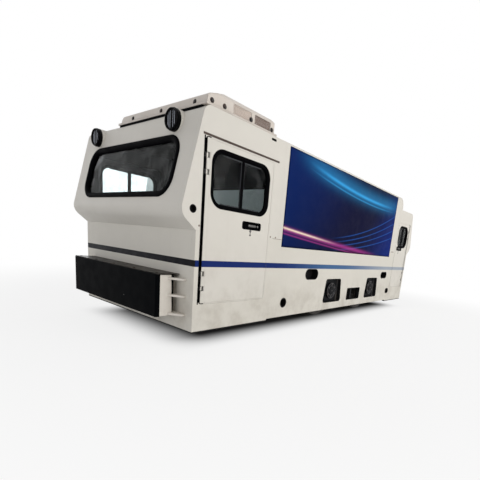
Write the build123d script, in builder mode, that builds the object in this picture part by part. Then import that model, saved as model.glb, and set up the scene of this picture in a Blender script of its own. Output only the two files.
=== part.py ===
"""Small two-axle mine battery locomotive with outside frames and two closed cabs.

Frame: millimetres, +X towards the tall front cab, +Y to the left side, +Z up.
Origin: middle of the overall box, at the lowest point of the wheel flanges.
"""

import os
from typing import NamedTuple

from build123d import *

# Body envelope
BODY_LENGTH = 3450.0
GAUGE = 850.0
FRAME_OUTREACH = 250.0
FRAME_BOTTOM = 116.0
SEAM_HEIGHT = 690.0
ROOF_HEIGHT = 1335.0
REAR_ROOF_DROP = 125.0
WALL = 30.0
END_PLATE = 25.0
SKIRT_DROP = 16.0
SKIRT_FRONT = 667.0
SKIRT_REAR = 526.0

# Bent cab sheets, measured outwards from the lower end plane
CHIN_REACH = 105.0
CHIN_RISE = 82.0
CHIN_RADIUS = 75.0
PANEL_LEAN = 135.0
ROOF_RADIUS = 50.0

# Cabs and hood, as distances back from the front end plane
CAB_LENGTH = 720.0
REAR_CAB_LENGTH = 470.0
CAP_OVERHANG = 70.0
CAP_RADIUS = 100.0

# Doors
DOOR_HINGE_INSET = 60.0
DOOR_SILL = 276.0
FRONT_DOOR_WIDTH = 550.0
REAR_DOOR_WIDTH = 370.0
FRONT_DOOR_HEAD = 157.0
REAR_DOOR_HEAD = 146.0
DOORWAY_CORNER = 22.0
LEAF_CORNER = 15.0
DOOR_GAP = 6.0
HINGE_DEPTH = 10.0
HINGE_SLOT = 22.0
HINGE_SETBACK = 12.0
PIN_RADIUS = 5.0
BARREL_RADIUS = 9.0
LUG_RADIUS = 7.0
BARREL_LENGTH = 60.0
LUG_LENGTH = 24.0
HINGE_INSET = 130.0
HINGE_LAP = 1.0
WINDOW_EDGE = 43.0
WINDOW_TOP_GAP = 48.0
FRONT_WINDOW_HIGH = 292.0
REAR_WINDOW_HIGH = 234.0
WINDOW_CORNER = 70.0
GLASS = 6.0
GLASS_GAP = 0.3

# Windscreens
SCREEN_WIDTH = 1040.0
SCREEN_CORNER = 95.0
FRONT_SCREEN_HIGH = 314.0
REAR_SCREEN_HIGH = 240.0
FRONT_SCREEN_HEAD = 153.0
REAR_SCREEN_HEAD = 130.0
SCREEN_INSET = 10.0
SCREEN_CUT = 300.0

# Round hole in each side of the front cab, near its chin
CHIN_HOLE = 41.0
CHIN_HOLE_REACH = 24.0
CHIN_HOLE_RISE = 29.0

# Headlamps
LAMP_RADIUS = 60.0
LAMP_NOSE = 36.0
LAMP_BEZEL = 8.0
LAMP_RECESS = 7.0
LAMP_SPREAD = 455.0
LAMP_DROP = 66.0

# Wheels and axles
WHEELBASE = 860.0
WHEEL_MIDDLE = 2030.0
TREAD_RADIUS = 260.0
FLANGE = 25.0
FLANGE_WIDTH = 28.0
TREAD_WIDTH = 110.0
HUB_RADIUS = 90.0
HUB_OUT = 18.0
WEB = 34.0
WEB_FLARE = 14.0
FLANGE_SLOPE = 12.0
TREAD_CONE = 4.0
AXLE_RADIUS = 55.0
JOURNAL_RADIUS = 45.0
SHOULDER_GAP = 12.0
JOURNAL_LENGTH = 70.0
RIM = 40.0
RUNNING_FIT = 0.1
SEAT_FIT = 0.3

# Axle boxes and springs
BOX_WIDTH = 220.0
BOX_HEIGHT = 200.0
BOX_REACH = 85.0
BOX_DEPTH = 82.0
COVER_RADIUS = 74.0
COVER_REACH = 18.0
COVER_HUB_RADIUS = 37.0
COVER_HUB_REACH = 6.0
BORE_END_GAP = 2.0
GUIDE = 30.0
GUIDE_DROP = 10.0
SPRING_HIGH = 120.0
KEEPER = 15.0
SPRING_LONG = 84.0
SPRING_WIDE = 72.0
SPRING_PLATES = 3
SPRING_PLATE = 12.0
SPRING_WAIST = 7.0
SEAT_PLATE = 16.0

# Openings in the side frames: place back from the front, height, size
BOX_HOLE_TOP = 270.0
BOX_HOLE_LOW = 330.0
BOX_HOLE_HEIGHT = 218.0
BOX_HOLE_MIDDLE = 288.0
BOX_HOLE_CORNER = 26.0
MIDDLE_HOLE_HEIGHT = 240.0
MIDDLE_HOLE_LONG = 288.0
MIDDLE_HOLE_HIGH = 120.0
MIDDLE_HOLE_CORNER = 14.0
LIFT_HOLE_PLACE = 855.0
LIFT_HOLE_HEIGHT = 224.0
LIFT_HOLE = 68.0
FRONT_SLOT_PLACE = 1215.0
FRONT_SLOT_HEIGHT = 441.0
FRONT_SLOT_LONG = 196.0
FRONT_SLOT_HIGH = 90.0
REAR_SLOT_PLACE = 2775.0
REAR_SLOT_HEIGHT = 424.0
REAR_SLOT_LONG = 178.0
REAR_SLOT_HIGH = 77.0
SKIRT_SLOT_PLACE = 2943.0
SKIRT_SLOT_HEIGHT = 231.0
SKIRT_SLOT_LONG = 99.0
SKIRT_SLOT_HIGH = 63.0

# Bumpers
BUMPER_REACH = 150.0
BUMPER_LOW = 185.0
BUMPER_HIGH = 430.0
BUMPER_WIDTH = 1080.0
BUMPER_FACE = 25.0
BUMPER_BOX = 970.0
BUMPER_STEEL = 14.0
BUMPER_TOP = 12.0
BUMPER_ROUND = 10.0
RIB_STEEL = 12.0
RIB_REACH = 610.0
RIB_DEPTH = 110.0
RIB_NOSE = 20.0

# Floors and cross members
CAB_FLOOR = 262.0
BATTERY_FLOOR = 600.0
FLOOR_STEEL = 12.0
MEMBER_STEEL = 20.0
MEMBER_LOW = 140.0

# Traction motors
MOTOR_RADIUS = 145.0
MOTOR_LENGTH = 520.0
MOTOR_SIDES = 8
MOTOR_OFFSET = 215.0
SLEEVE_RADIUS = 80.0
SLEEVE_LENGTH = 70.0
SLEEVE_SPREAD = 215.0
GEAR_RADIUS = 175.0
PINION_RADIUS = 105.0
GEAR_WIDTH = 115.0
CASE_LAP = 5.0
NOSE_WIDE = 174.0
NOSE_HIGH = 72.0
NOSE_RISE = 72.0

# Brake shoes
SHOE_WIDTH = 66.0
SHOE_HEIGHT = 190.0
SHOE_STEEL = 32.0
SHOE_GAP = 8.0
SHOE_SIDE_GAP = 8.0
HANGER_LONG = 16.0
HANGER_WIDE = 36.0

# Air conditioner on the front cab roof
COOLER_LENGTH = 575.0
COOLER_WIDTH = 920.0
COOLER_SETBACK = 32.0
COOLER_FLANGE = 12.0
COOLER_FRONT = 58.0
COOLER_HEIGHT = 96.0
COOLER_RAMP = 130.0
COOLER_INSET = 14.0
COOLER_RAKE = 6.0
COOLER_ROUND = 20.0
COOLER_END_SLOPE = 46.0
LOUVRE_PLACE = 308.0
MESH_PLACE = 482.0
GRILLE_LONG = 144.0
GRILLE_HIGH = 48.0
GRILLE_DEPTH = 16.0
GRILLE_SLAT = 3.0
GRILLE_SLATS = 6
GRILLE_SLAT_SINK = 2.0

# Banner cloths
BANNER = 2.0
BANNER_FRONT = 765.0
BANNER_REAR = 2850.0
BANNER_TALL = 680.0
BANNER_MIDDLE = 982.5

# Battery, seats and desks
BATTERY_MARGIN = 60.0
BATTERY_WIDE = 1150.0
BATTERY_HEADROOM = 73.0
SEAT_LONG = 230.0
SEAT_WIDE = 420.0
SEAT_HEIGHT = 600.0
SEAT_PAD = 70.0
SEAT_BACK = 155.0
SEAT_ROUND = 18.0
SEAT_POST_LONG = 115.0
SEAT_POST_WIDE = 210.0
DESK_SETBACK = 62.0
FRONT_DESK_LONG = 120.0
REAR_DESK_LONG = 70.0
DESK_WIDE = 900.0
DESK_HEIGHT = 760.0
DESK_SLOPE = 40.0

# Door handles
FRONT_HANDLE_PLACE = 380.0
REAR_HANDLE_PLACE = 255.0
HANDLE_HEIGHT = 755.0
HANDLE_LONG = 166.0
HANDLE_TALL = 42.0
HANDLE_CORNER = 10.0
HANDLE_DEPTH = 12.0

HALF_LENGTH = BODY_LENGTH / 2
GAUGE_HALF = GAUGE / 2
HALF_WIDTH = GAUGE_HALF + FRAME_OUTREACH
INNER_WIDTH = HALF_WIDTH - WALL
HOOD_END = BODY_LENGTH - REAR_CAB_LENGTH
REAR_ROOF_HEIGHT = ROOF_HEIGHT - REAR_ROOF_DROP
CHIN_HEIGHT = SEAM_HEIGHT + CHIN_RISE
AXLE_HEIGHT = TREAD_RADIUS + FLANGE
BOX_INNER = INNER_WIDTH - BOX_REACH
BOX_TOP = AXLE_HEIGHT + BOX_HEIGHT / 2
BOX_LOW = AXLE_HEIGHT - BOX_HEIGHT / 2
AXLE_SHOULDER = BOX_INNER - SHOULDER_GAP
JOURNAL_END = BOX_INNER + JOURNAL_LENGTH
SPRING_SEAT = BOX_TOP + SPRING_HIGH
DOOR_PIVOT = HALF_WIDTH - HINGE_DEPTH
SKIRT_BOTTOM = FRAME_BOTTOM - SKIRT_DROP
SIDES = {"left": 1, "right": -1}
AXLES = {
    "front": HALF_LENGTH - WHEEL_MIDDLE + WHEELBASE / 2,
    "rear": HALF_LENGTH - WHEEL_MIDDLE - WHEELBASE / 2,
}


class Cab(NamedTuple):
    """Sizes that differ between the two cabs; end is +1 at the front, -1 at the rear."""

    end: int
    roof: float
    length: float
    door_width: float
    door_head: float
    window_tall: float
    screen_tall: float
    screen_head: float
    desk_long: float
    handle_place: float

    @property
    def door_top(self) -> float:
        """Height of the door leaf's top edge."""
        return self.roof - self.door_head

    @property
    def window_middle(self) -> float:
        """Height of the middle of the door's window."""
        return self.door_top - WINDOW_TOP_GAP - self.window_tall / 2

    @property
    def screen_middle(self) -> float:
        """Height of the middle of the windscreen."""
        return self.roof - self.screen_head - self.screen_tall / 2

    @property
    def lamp_face(self) -> float:
        """X of the headlamps' faces, which stand LAMP_NOSE off the panel at their middle."""
        rise = self.roof - LAMP_DROP - CHIN_HEIGHT
        lean = PANEL_LEAN * rise / (ROOF_HEIGHT - CHIN_HEIGHT)
        return self.end * (HALF_LENGTH + CHIN_REACH - lean + LAMP_NOSE)


CABS = {
    "front": Cab(
        end=1,
        roof=ROOF_HEIGHT,
        length=CAB_LENGTH,
        door_width=FRONT_DOOR_WIDTH,
        door_head=FRONT_DOOR_HEAD,
        window_tall=FRONT_WINDOW_HIGH,
        screen_tall=FRONT_SCREEN_HIGH,
        screen_head=FRONT_SCREEN_HEAD,
        desk_long=FRONT_DESK_LONG,
        handle_place=FRONT_HANDLE_PLACE,
    ),
    "rear": Cab(
        end=-1,
        roof=REAR_ROOF_HEIGHT,
        length=REAR_CAB_LENGTH,
        door_width=REAR_DOOR_WIDTH,
        door_head=REAR_DOOR_HEAD,
        window_tall=REAR_WINDOW_HIGH,
        screen_tall=REAR_SCREEN_HIGH,
        screen_head=REAR_SCREEN_HEAD,
        desk_long=REAR_DESK_LONG,
        handle_place=REAR_HANDLE_PLACE,
    ),
}


class SideHole(NamedTuple):
    """A slot through the side frame: place back from the front, height, length and height."""

    place: float
    height: float
    long: float
    high: float


SIDE_HOLES = [
    SideHole(LIFT_HOLE_PLACE, LIFT_HOLE_HEIGHT, LIFT_HOLE, LIFT_HOLE),
    SideHole(FRONT_SLOT_PLACE, FRONT_SLOT_HEIGHT, FRONT_SLOT_LONG, FRONT_SLOT_HIGH),
    SideHole(REAR_SLOT_PLACE, REAR_SLOT_HEIGHT, REAR_SLOT_LONG, REAR_SLOT_HIGH),
    SideHole(SKIRT_SLOT_PLACE, SKIRT_SLOT_HEIGHT, SKIRT_SLOT_LONG, SKIRT_SLOT_HIGH),
]

os.makedirs("parts", exist_ok=True)


def save(piece: BuildPart, label: str) -> None:
    """Label the finished piece and write its STEP file."""
    piece.part.label = label
    export_step(piece.part, f"parts/{label}.step")


def back(distance: float) -> float:
    """Return the X of a place measured back from the lower front end plane."""
    return HALF_LENGTH - distance


def side_view(y: float) -> Plane:
    """Return the plane with X across and Z up that stands at a given Y."""
    return Plane.XZ.offset(-y)


def draw_cab_outline(outline: BuildSketch, cab: Cab, low: float, inner: float) -> None:
    """Draw a cab's side outline of seam, round chin, leaning panel and roof.

    low is the height of its lower edge and inner the X of its edge at the hood.
    """
    plane = cab.end * HALF_LENGTH
    flare = CHIN_REACH / (CHIN_HEIGHT - SEAM_HEIGHT)
    lean = PANEL_LEAN * (cab.roof - CHIN_HEIGHT) / (ROOF_HEIGHT - CHIN_HEIGHT)
    foot = (plane - cab.end * flare * (SEAM_HEIGHT - low), low)
    chin = (plane + cab.end * CHIN_REACH, CHIN_HEIGHT)
    crown = (plane + cab.end * (CHIN_REACH - lean), cab.roof)
    with BuildLine() as line:
        Polyline(foot, chin, crown, (inner, cab.roof), (inner, low), close=True)
    make_face(line.edges())
    fillet(outline.vertices().sort_by_distance((*chin, 0))[0], CHIN_RADIUS)
    fillet(outline.vertices().sort_by_distance((*crown, 0))[0], ROOF_RADIUS)


def door_centre(cab: Cab, margin: float) -> tuple[float, float]:
    """Return the X of the middle of a door's opening or leaf, and its length there."""
    hinge = cab.end * (HALF_LENGTH - DOOR_HINGE_INSET)
    near = hinge - cab.end * HINGE_SETBACK
    far = hinge - cab.end * cab.door_width
    if margin:
        near = hinge + cab.end * HINGE_SLOT
        far = far - cab.end * margin
    return (near + far) / 2, abs(near - far)


def cut_doorways(side: int) -> None:
    """Cut both doorways of one side out of the plate in work."""
    for cab in CABS.values():
        middle, long = door_centre(cab, DOOR_GAP)
        low = DOOR_SILL - DOOR_GAP
        high = cab.door_top + DOOR_GAP
        with BuildSketch(side_view(side * HALF_WIDTH)) as doorway:
            with Locations((middle, (low + high) / 2)):
                RectangleRounded(long, high - low, DOORWAY_CORNER)
        extrude(doorway.sketch, amount=side * WALL, mode=Mode.SUBTRACT)


def add_hinge_lugs(cab: Cab, side: int, height: float) -> None:
    """Add one hinge's pin and its two lugs to the plate in work."""
    x = cab.end * (HALF_LENGTH - DOOR_HINGE_INSET)
    y = side * DOOR_PIVOT
    with Locations((x, y, height)):
        Cylinder(PIN_RADIUS, BARREL_LENGTH + 2 * LUG_LENGTH)
    reach = (BARREL_LENGTH + LUG_LENGTH) / 2 + HINGE_LAP
    arm = HINGE_SLOT + HINGE_LAP
    for place in (-reach, reach):
        with Locations((x, y, height + place)):
            Cylinder(LUG_RADIUS, LUG_LENGTH)
        with Locations((x + cab.end * arm / 2, y, height + place)):
            Box(arm, 2 * LUG_RADIUS, LUG_LENGTH)


def hinge_heights(cab: Cab) -> tuple[float, float]:
    """Return the heights of a door's lower and upper hinge."""
    return DOOR_SILL + HINGE_INSET, cab.door_top - HINGE_INSET


# Side frames: thick plates with the doorways, service slots and axle-box openings
for side_name, side in SIDES.items():
    with BuildPart() as frame_side:
        with BuildSketch(side_view(side * HALF_WIDTH)) as plate:
            with Locations((0, (FRAME_BOTTOM + SEAM_HEIGHT) / 2)):
                Rectangle(BODY_LENGTH, SEAM_HEIGHT - FRAME_BOTTOM)
            for end, long in ((1, SKIRT_FRONT), (-1, SKIRT_REAR)):
                with Locations((end * (HALF_LENGTH - long / 2), FRAME_BOTTOM - SKIRT_DROP / 2)):
                    Rectangle(long, SKIRT_DROP)
            for hole in SIDE_HOLES:
                with Locations((back(hole.place), hole.height)):
                    if hole.long > hole.high:
                        SlotOverall(hole.long, hole.high, mode=Mode.SUBTRACT)
                    else:
                        Circle(hole.high / 2, mode=Mode.SUBTRACT)
            with Locations((back(WHEEL_MIDDLE), MIDDLE_HOLE_HEIGHT)):
                RectangleRounded(MIDDLE_HOLE_LONG, MIDDLE_HOLE_HIGH, MIDDLE_HOLE_CORNER, mode=Mode.SUBTRACT)
        extrude(amount=side * WALL)
        for axle_x in AXLES.values():
            with BuildSketch(side_view(side * HALF_WIDTH)) as window:
                with BuildLine():
                    high = BOX_HOLE_MIDDLE + BOX_HOLE_HEIGHT / 2
                    low = BOX_HOLE_MIDDLE - BOX_HOLE_HEIGHT / 2
                    Polyline(
                        (axle_x - BOX_HOLE_LOW / 2, low),
                        (axle_x + BOX_HOLE_LOW / 2, low),
                        (axle_x + BOX_HOLE_TOP / 2, high),
                        (axle_x - BOX_HOLE_TOP / 2, high),
                        close=True,
                    )
                make_face()
                fillet(window.vertices(), BOX_HOLE_CORNER)
            extrude(amount=side * WALL, mode=Mode.SUBTRACT)
        cut_doorways(side)
        for cab in CABS.values():
            add_hinge_lugs(cab, side, hinge_heights(cab)[0])
    save(frame_side, f"frame_side_{side_name}")

# Horn guides: a welded frame round each axle box, with the spring seat above and a keeper below
with BuildPart() as horn_guides:
    low = BOX_LOW - GUIDE_DROP - KEEPER
    high = SPRING_SEAT + SEAT_PLATE
    for axle_x in AXLES.values():
        for side in SIDES.values():
            y = side * (INNER_WIDTH - BOX_REACH / 2)
            with Locations((axle_x, y, (low + high) / 2)):
                Box(BOX_WIDTH + 2 * (GUIDE + SEAT_FIT), BOX_REACH, high - low)
            with Locations((axle_x, y, (low + KEEPER + SPRING_SEAT) / 2)):
                Box(BOX_WIDTH + 2 * SEAT_FIT, BOX_REACH, SPRING_SEAT - low - KEEPER, mode=Mode.SUBTRACT)
save(horn_guides, "horn_guides")

# Frame ends, floors and cross members
for cab_name, cab in CABS.items():
    with BuildPart() as frame_end:
        with Locations((cab.end * (HALF_LENGTH - END_PLATE / 2), 0, (SKIRT_BOTTOM + SEAM_HEIGHT) / 2)):
            Box(END_PLATE, 2 * INNER_WIDTH, SEAM_HEIGHT - SKIRT_BOTTOM)
    save(frame_end, f"frame_end_{cab_name}")

with BuildPart() as floor_plates:
    for cab in CABS.values():
        near = HALF_LENGTH - END_PLATE
        far = HALF_LENGTH - cab.length + WALL
        with Locations((cab.end * (near + far) / 2, 0, CAB_FLOOR + FLOOR_STEEL / 2)):
            Box(near - far, 2 * INNER_WIDTH, FLOOR_STEEL)
    with Locations((back((CAB_LENGTH + HOOD_END) / 2), 0, BATTERY_FLOOR + FLOOR_STEEL / 2)):
        Box(HOOD_END - CAB_LENGTH, 2 * INNER_WIDTH, FLOOR_STEEL)
save(floor_plates, "floor_plates")

with BuildPart() as cross_members:
    for place in (CAB_LENGTH + MEMBER_STEEL / 2, WHEEL_MIDDLE, HOOD_END - MEMBER_STEEL / 2):
        with Locations((back(place), 0, (MEMBER_LOW + BATTERY_FLOOR) / 2)):
            Box(MEMBER_STEEL, 2 * INNER_WIDTH, BATTERY_FLOOR - MEMBER_LOW)
save(cross_members, "cross_members")

# Bumpers: a black face and top plate on a cream box with side ribs
for cab_name, cab in CABS.items():
    middle = (BUMPER_LOW + BUMPER_HIGH) / 2
    depth = BUMPER_REACH - BUMPER_FACE
    with BuildPart() as bumper:
        x = cab.end * (HALF_LENGTH + depth / 2)
        inner_high = BUMPER_HIGH - BUMPER_TOP
        for side in SIDES.values():
            with Locations((x, side * (BUMPER_BOX - BUMPER_STEEL) / 2, (BUMPER_LOW + inner_high) / 2)):
                Box(depth, BUMPER_STEEL, inner_high - BUMPER_LOW)
        with Locations((x, 0, middle)):
            Box(depth, BUMPER_BOX, BUMPER_STEEL)
        for height in (BUMPER_LOW + RIB_STEEL, middle, inner_high - RIB_STEEL):
            for side in SIDES.values():
                with BuildSketch(Plane.XY.offset(height - RIB_STEEL / 2)):
                    with BuildLine():
                        wall = cab.end * HALF_LENGTH
                        root = side * (BUMPER_BOX / 2 - BUMPER_STEEL / 2)
                        Polyline(
                            (wall, root),
                            (wall + cab.end * RIB_DEPTH, root),
                            (wall + cab.end * RIB_NOSE, side * RIB_REACH),
                            (wall, side * RIB_REACH),
                            close=True,
                        )
                    make_face()
                extrude(amount=RIB_STEEL)
    save(bumper, f"bumper_{cab_name}")
    with BuildPart() as bumper_plate:
        with Locations((cab.end * (HALF_LENGTH + BUMPER_REACH - BUMPER_FACE / 2), 0, middle)):
            Box(BUMPER_FACE, BUMPER_WIDTH, BUMPER_HIGH - BUMPER_LOW)
        with Locations((cab.end * (HALF_LENGTH + depth / 2), 0, BUMPER_HIGH - BUMPER_TOP / 2)):
            Box(depth, BUMPER_BOX, BUMPER_TOP)
        upright = bumper_plate.edges().filter_by(Axis.Z).sort_by(Axis.X)
        fillet(upright[-2:] if cab.end > 0 else upright[:2], BUMPER_ROUND)
    save(bumper_plate, f"bumper_plate_{cab_name}")

# Wheelsets: two flanged wheels on an axle with outside journals
for axle_name, axle_x in AXLES.items():
    with BuildPart() as axle:
        with Locations(Location((axle_x, 0, AXLE_HEIGHT), (90, 0, 0))):
            Cylinder(AXLE_RADIUS, 2 * AXLE_SHOULDER)
            Cylinder(JOURNAL_RADIUS, 2 * JOURNAL_END)
    save(axle, f"axle_{axle_name}")
    with BuildPart() as wheels:
        for side in SIDES.values():
            with BuildSketch(Plane.YZ.offset(axle_x)):
                with BuildLine():
                    rim = TREAD_RADIUS - RIM
                    flange_out = GAUGE_HALF + FLANGE_WIDTH / 2
                    flange_in = flange_out - FLANGE_WIDTH
                    tread_out = flange_out + TREAD_WIDTH - FLANGE_WIDTH
                    profile = [
                        (flange_in, AXLE_RADIUS + SEAT_FIT),
                        (flange_in, TREAD_RADIUS + FLANGE),
                        (flange_out - FLANGE_SLOPE, TREAD_RADIUS + FLANGE),
                        (flange_out, TREAD_RADIUS),
                        (tread_out, TREAD_RADIUS - TREAD_CONE),
                        (tread_out, rim),
                        (flange_in + WEB, rim - WEB_FLARE),
                        (flange_in + WEB, HUB_RADIUS + WEB_FLARE),
                        (tread_out + HUB_OUT, HUB_RADIUS),
                        (tread_out + HUB_OUT, AXLE_RADIUS + SEAT_FIT),
                    ]
                    Polyline(*[(side * y, AXLE_HEIGHT + r) for y, r in profile], close=True)
                make_face()
            revolve(axis=Axis((axle_x, 0, AXLE_HEIGHT), (0, 1, 0)))
    save(wheels, f"wheels_{axle_name}")

with BuildPart() as axle_boxes:
    for axle_x in AXLES.values():
        for side in SIDES.values():
            with Locations((axle_x, side * (BOX_INNER + BOX_DEPTH / 2), AXLE_HEIGHT)):
                Box(BOX_WIDTH, BOX_DEPTH, BOX_HEIGHT)
            outer = BOX_INNER + BOX_DEPTH
            with Locations(Location((axle_x, side * (outer + COVER_REACH / 2), AXLE_HEIGHT), (90, 0, 0))):
                Cylinder(COVER_RADIUS, COVER_REACH)
            with Locations(Location((axle_x, side * (outer + COVER_REACH), AXLE_HEIGHT), (90, 0, 0))):
                Cylinder(COVER_HUB_RADIUS, 2 * COVER_HUB_REACH)
            bore = JOURNAL_END + BORE_END_GAP - BOX_INNER
            with Locations(Location((axle_x, side * (BOX_INNER + bore / 2), AXLE_HEIGHT), (90, 0, 0))):
                Cylinder(JOURNAL_RADIUS + RUNNING_FIT, bore, mode=Mode.SUBTRACT)
save(axle_boxes, "axle_boxes")

with BuildPart() as springs:
    for axle_x in AXLES.values():
        for side in SIDES.values():
            y = side * (BOX_INNER + BOX_DEPTH / 2)
            rubber = SPRING_LONG - 2 * SPRING_WAIST
            pitch = (SPRING_HIGH - SPRING_PLATE) / (SPRING_PLATES - 1)
            with BuildSketch(side_view(y + SPRING_WIDE / 2)):
                with Locations((axle_x, (BOX_TOP + SPRING_SEAT) / 2)):
                    Rectangle(rubber, SPRING_HIGH)
                    with GridLocations(0, pitch, 1, SPRING_PLATES):
                        Rectangle(SPRING_LONG, SPRING_PLATE)
            extrude(amount=SPRING_WIDE)
save(springs, "springs")

# Traction motors hung on the axles, each with a gear case and a nose on the middle member
for axle_name, axle_x in AXLES.items():
    inward = -1 if axle_name == "front" else 1
    motor_x = axle_x + inward * MOTOR_OFFSET
    with BuildPart() as motor:
        with BuildSketch(side_view(MOTOR_LENGTH / 2)):
            with Locations((motor_x, AXLE_HEIGHT)):
                RegularPolygon(MOTOR_RADIUS, MOTOR_SIDES, major_radius=False, rotation=180 / MOTOR_SIDES)
        extrude(amount=MOTOR_LENGTH)
        for y in (-SLEEVE_SPREAD, SLEEVE_SPREAD):
            with Locations(Location((axle_x, y, AXLE_HEIGHT), (90, 0, 0))):
                Cylinder(SLEEVE_RADIUS, SLEEVE_LENGTH)
            with Locations(((axle_x + motor_x) / 2, y, AXLE_HEIGHT)):
                Box(MOTOR_OFFSET, SLEEVE_LENGTH, SLEEVE_RADIUS)
        case_side = inward * -1
        with BuildSketch(side_view(case_side * (MOTOR_LENGTH / 2 - CASE_LAP))):
            with Locations((axle_x, AXLE_HEIGHT)):
                Circle(GEAR_RADIUS)
            with Locations((motor_x, AXLE_HEIGHT)):
                Circle(PINION_RADIUS)
            make_hull()
        extrude(amount=-case_side * GEAR_WIDTH)
        nose = WHEELBASE / 2 - MOTOR_OFFSET - MEMBER_STEEL / 2 - SEAT_FIT
        with Locations((motor_x + inward * nose / 2, 0, AXLE_HEIGHT + NOSE_RISE)):
            Box(nose, NOSE_WIDE, NOSE_HIGH)
        with Locations(Location((axle_x, 0, AXLE_HEIGHT), (90, 0, 0))):
            Cylinder(AXLE_RADIUS + RUNNING_FIT, 2 * AXLE_SHOULDER, mode=Mode.SUBTRACT)
    save(motor, f"traction_motor_{axle_name}")

with BuildPart() as brake_gear:
    for axle_name, axle_x in AXLES.items():
        outward = 1 if axle_name == "front" else -1
        for side in SIDES.values():
            y = side * (GAUGE_HALF + FLANGE_WIDTH / 2 + SHOE_SIDE_GAP + SHOE_WIDTH / 2)
            with BuildSketch(side_view(y + SHOE_WIDTH / 2)):
                with Locations((axle_x, AXLE_HEIGHT)):
                    Circle(TREAD_RADIUS + SHOE_GAP + SHOE_STEEL)
                    Circle(TREAD_RADIUS + SHOE_GAP, mode=Mode.SUBTRACT)
                with Locations((axle_x + outward * (TREAD_RADIUS + SHOE_GAP), AXLE_HEIGHT)):
                    Rectangle(2 * (SHOE_GAP + SHOE_STEEL), SHOE_HEIGHT, mode=Mode.INTERSECT)
            extrude(amount=SHOE_WIDTH)
            hanger_x = axle_x + outward * (TREAD_RADIUS + SHOE_GAP + SHOE_STEEL)
            with Locations((hanger_x, y, (AXLE_HEIGHT + BATTERY_FLOOR) / 2)):
                Box(HANGER_LONG, HANGER_WIDE, BATTERY_FLOOR - AXLE_HEIGHT)
save(brake_gear, "brake_gear")

# Cab sheets: one bent panel each from the seam round the chin up to the roof
for cab_name, cab in CABS.items():
    inner = cab.end * (HALF_LENGTH - cab.length)
    with BuildPart() as sheet:
        with BuildSketch(side_view(INNER_WIDTH)) as outer_line:
            draw_cab_outline(outer_line, cab, SEAM_HEIGHT, inner)
        extrude(amount=2 * INNER_WIDTH)
        with BuildSketch(side_view(INNER_WIDTH)) as inner_line:
            draw_cab_outline(inner_line, cab, SEAM_HEIGHT - WALL, inner - cab.end * WALL)
            offset(amount=-WALL, kind=Kind.INTERSECTION)
        extrude(amount=2 * INNER_WIDTH, mode=Mode.SUBTRACT)
        with BuildSketch(Plane.YZ.offset(cab.end * (HALF_LENGTH - CHIN_REACH))):
            with Locations((0, cab.screen_middle)):
                RectangleRounded(SCREEN_WIDTH, cab.screen_tall, SCREEN_CORNER)
        extrude(amount=cab.end * SCREEN_CUT, mode=Mode.SUBTRACT)
    save(sheet, f"cab_sheet_{cab_name}")

    for side_name, side in SIDES.items():
        with BuildPart() as cab_side:
            with BuildSketch(side_view(side * HALF_WIDTH)) as outline:
                draw_cab_outline(outline, cab, SEAM_HEIGHT, inner)
            extrude(amount=side * WALL)
            cut_doorways(side)
            if cab_name == "front":
                with BuildSketch(side_view(side * HALF_WIDTH)):
                    with Locations((HALF_LENGTH + CHIN_HOLE_REACH, CHIN_HEIGHT + CHIN_HOLE_RISE)):
                        Circle(CHIN_HOLE / 2)
                extrude(amount=side * WALL, mode=Mode.SUBTRACT)
            add_hinge_lugs(cab, side, hinge_heights(cab)[1])
        save(cab_side, f"cab_side_{cab_name}_{side_name}")

    with BuildPart() as bulkhead:
        low = CAB_FLOOR + FLOOR_STEEL
        with Locations((inner + cab.end * WALL / 2, 0, (low + cab.roof - WALL) / 2)):
            Box(WALL, 2 * INNER_WIDTH, cab.roof - WALL - low)
    save(bulkhead, f"cab_bulkhead_{cab_name}")

# Windscreens follow the leaning panel inside their openings
with BuildPart() as windscreens:
    for cab in CABS.values():
        with BuildSketch(Plane.YZ.offset(cab.end * (HALF_LENGTH - CHIN_REACH))):
            with Locations((0, cab.screen_middle)):
                trim = 2 * GLASS_GAP
                RectangleRounded(SCREEN_WIDTH - trim, cab.screen_tall - trim, SCREEN_CORNER - GLASS_GAP)
        extrude(amount=cab.end * SCREEN_CUT)
    with BuildSketch(side_view(INNER_WIDTH)) as keep:
        for cab in CABS.values():
            rise = cab.roof - CHIN_HEIGHT
            lean = PANEL_LEAN * rise / (ROOF_HEIGHT - CHIN_HEIGHT)
            face = cab.end * (HALF_LENGTH + CHIN_REACH)
            with BuildLine():
                inset = cab.end * SCREEN_INSET
                Polyline(
                    (face - inset, CHIN_HEIGHT),
                    (face - inset - cab.end * lean, cab.roof),
                    (face - inset - cab.end * (lean + GLASS), cab.roof),
                    (face - inset - cab.end * GLASS, CHIN_HEIGHT),
                    close=True,
                )
            make_face()
    extrude(amount=2 * INNER_WIDTH, mode=Mode.INTERSECT)
save(windscreens, "windscreens")

# Headlamps: round housings cut to the leaning panel, facing straight ahead
with BuildPart() as headlamps:
    for cab in CABS.values():
        with BuildSketch(Plane.YZ.offset(cab.lamp_face)):
            with Locations((LAMP_SPREAD, cab.roof - LAMP_DROP), (-LAMP_SPREAD, cab.roof - LAMP_DROP)):
                Circle(LAMP_RADIUS)
        extrude(amount=-cab.end * (LAMP_NOSE + CHIN_REACH))
        with BuildSketch(side_view(INNER_WIDTH)) as outer_line:
            draw_cab_outline(outer_line, cab, SEAM_HEIGHT, 0)
        extrude(amount=2 * INNER_WIDTH, mode=Mode.SUBTRACT)
        with BuildSketch(Plane.YZ.offset(cab.lamp_face)):
            with Locations((LAMP_SPREAD, cab.roof - LAMP_DROP), (-LAMP_SPREAD, cab.roof - LAMP_DROP)):
                Circle(LAMP_RADIUS - LAMP_BEZEL)
        extrude(amount=-cab.end * LAMP_RECESS, mode=Mode.SUBTRACT)
save(headlamps, "headlamps")

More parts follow.
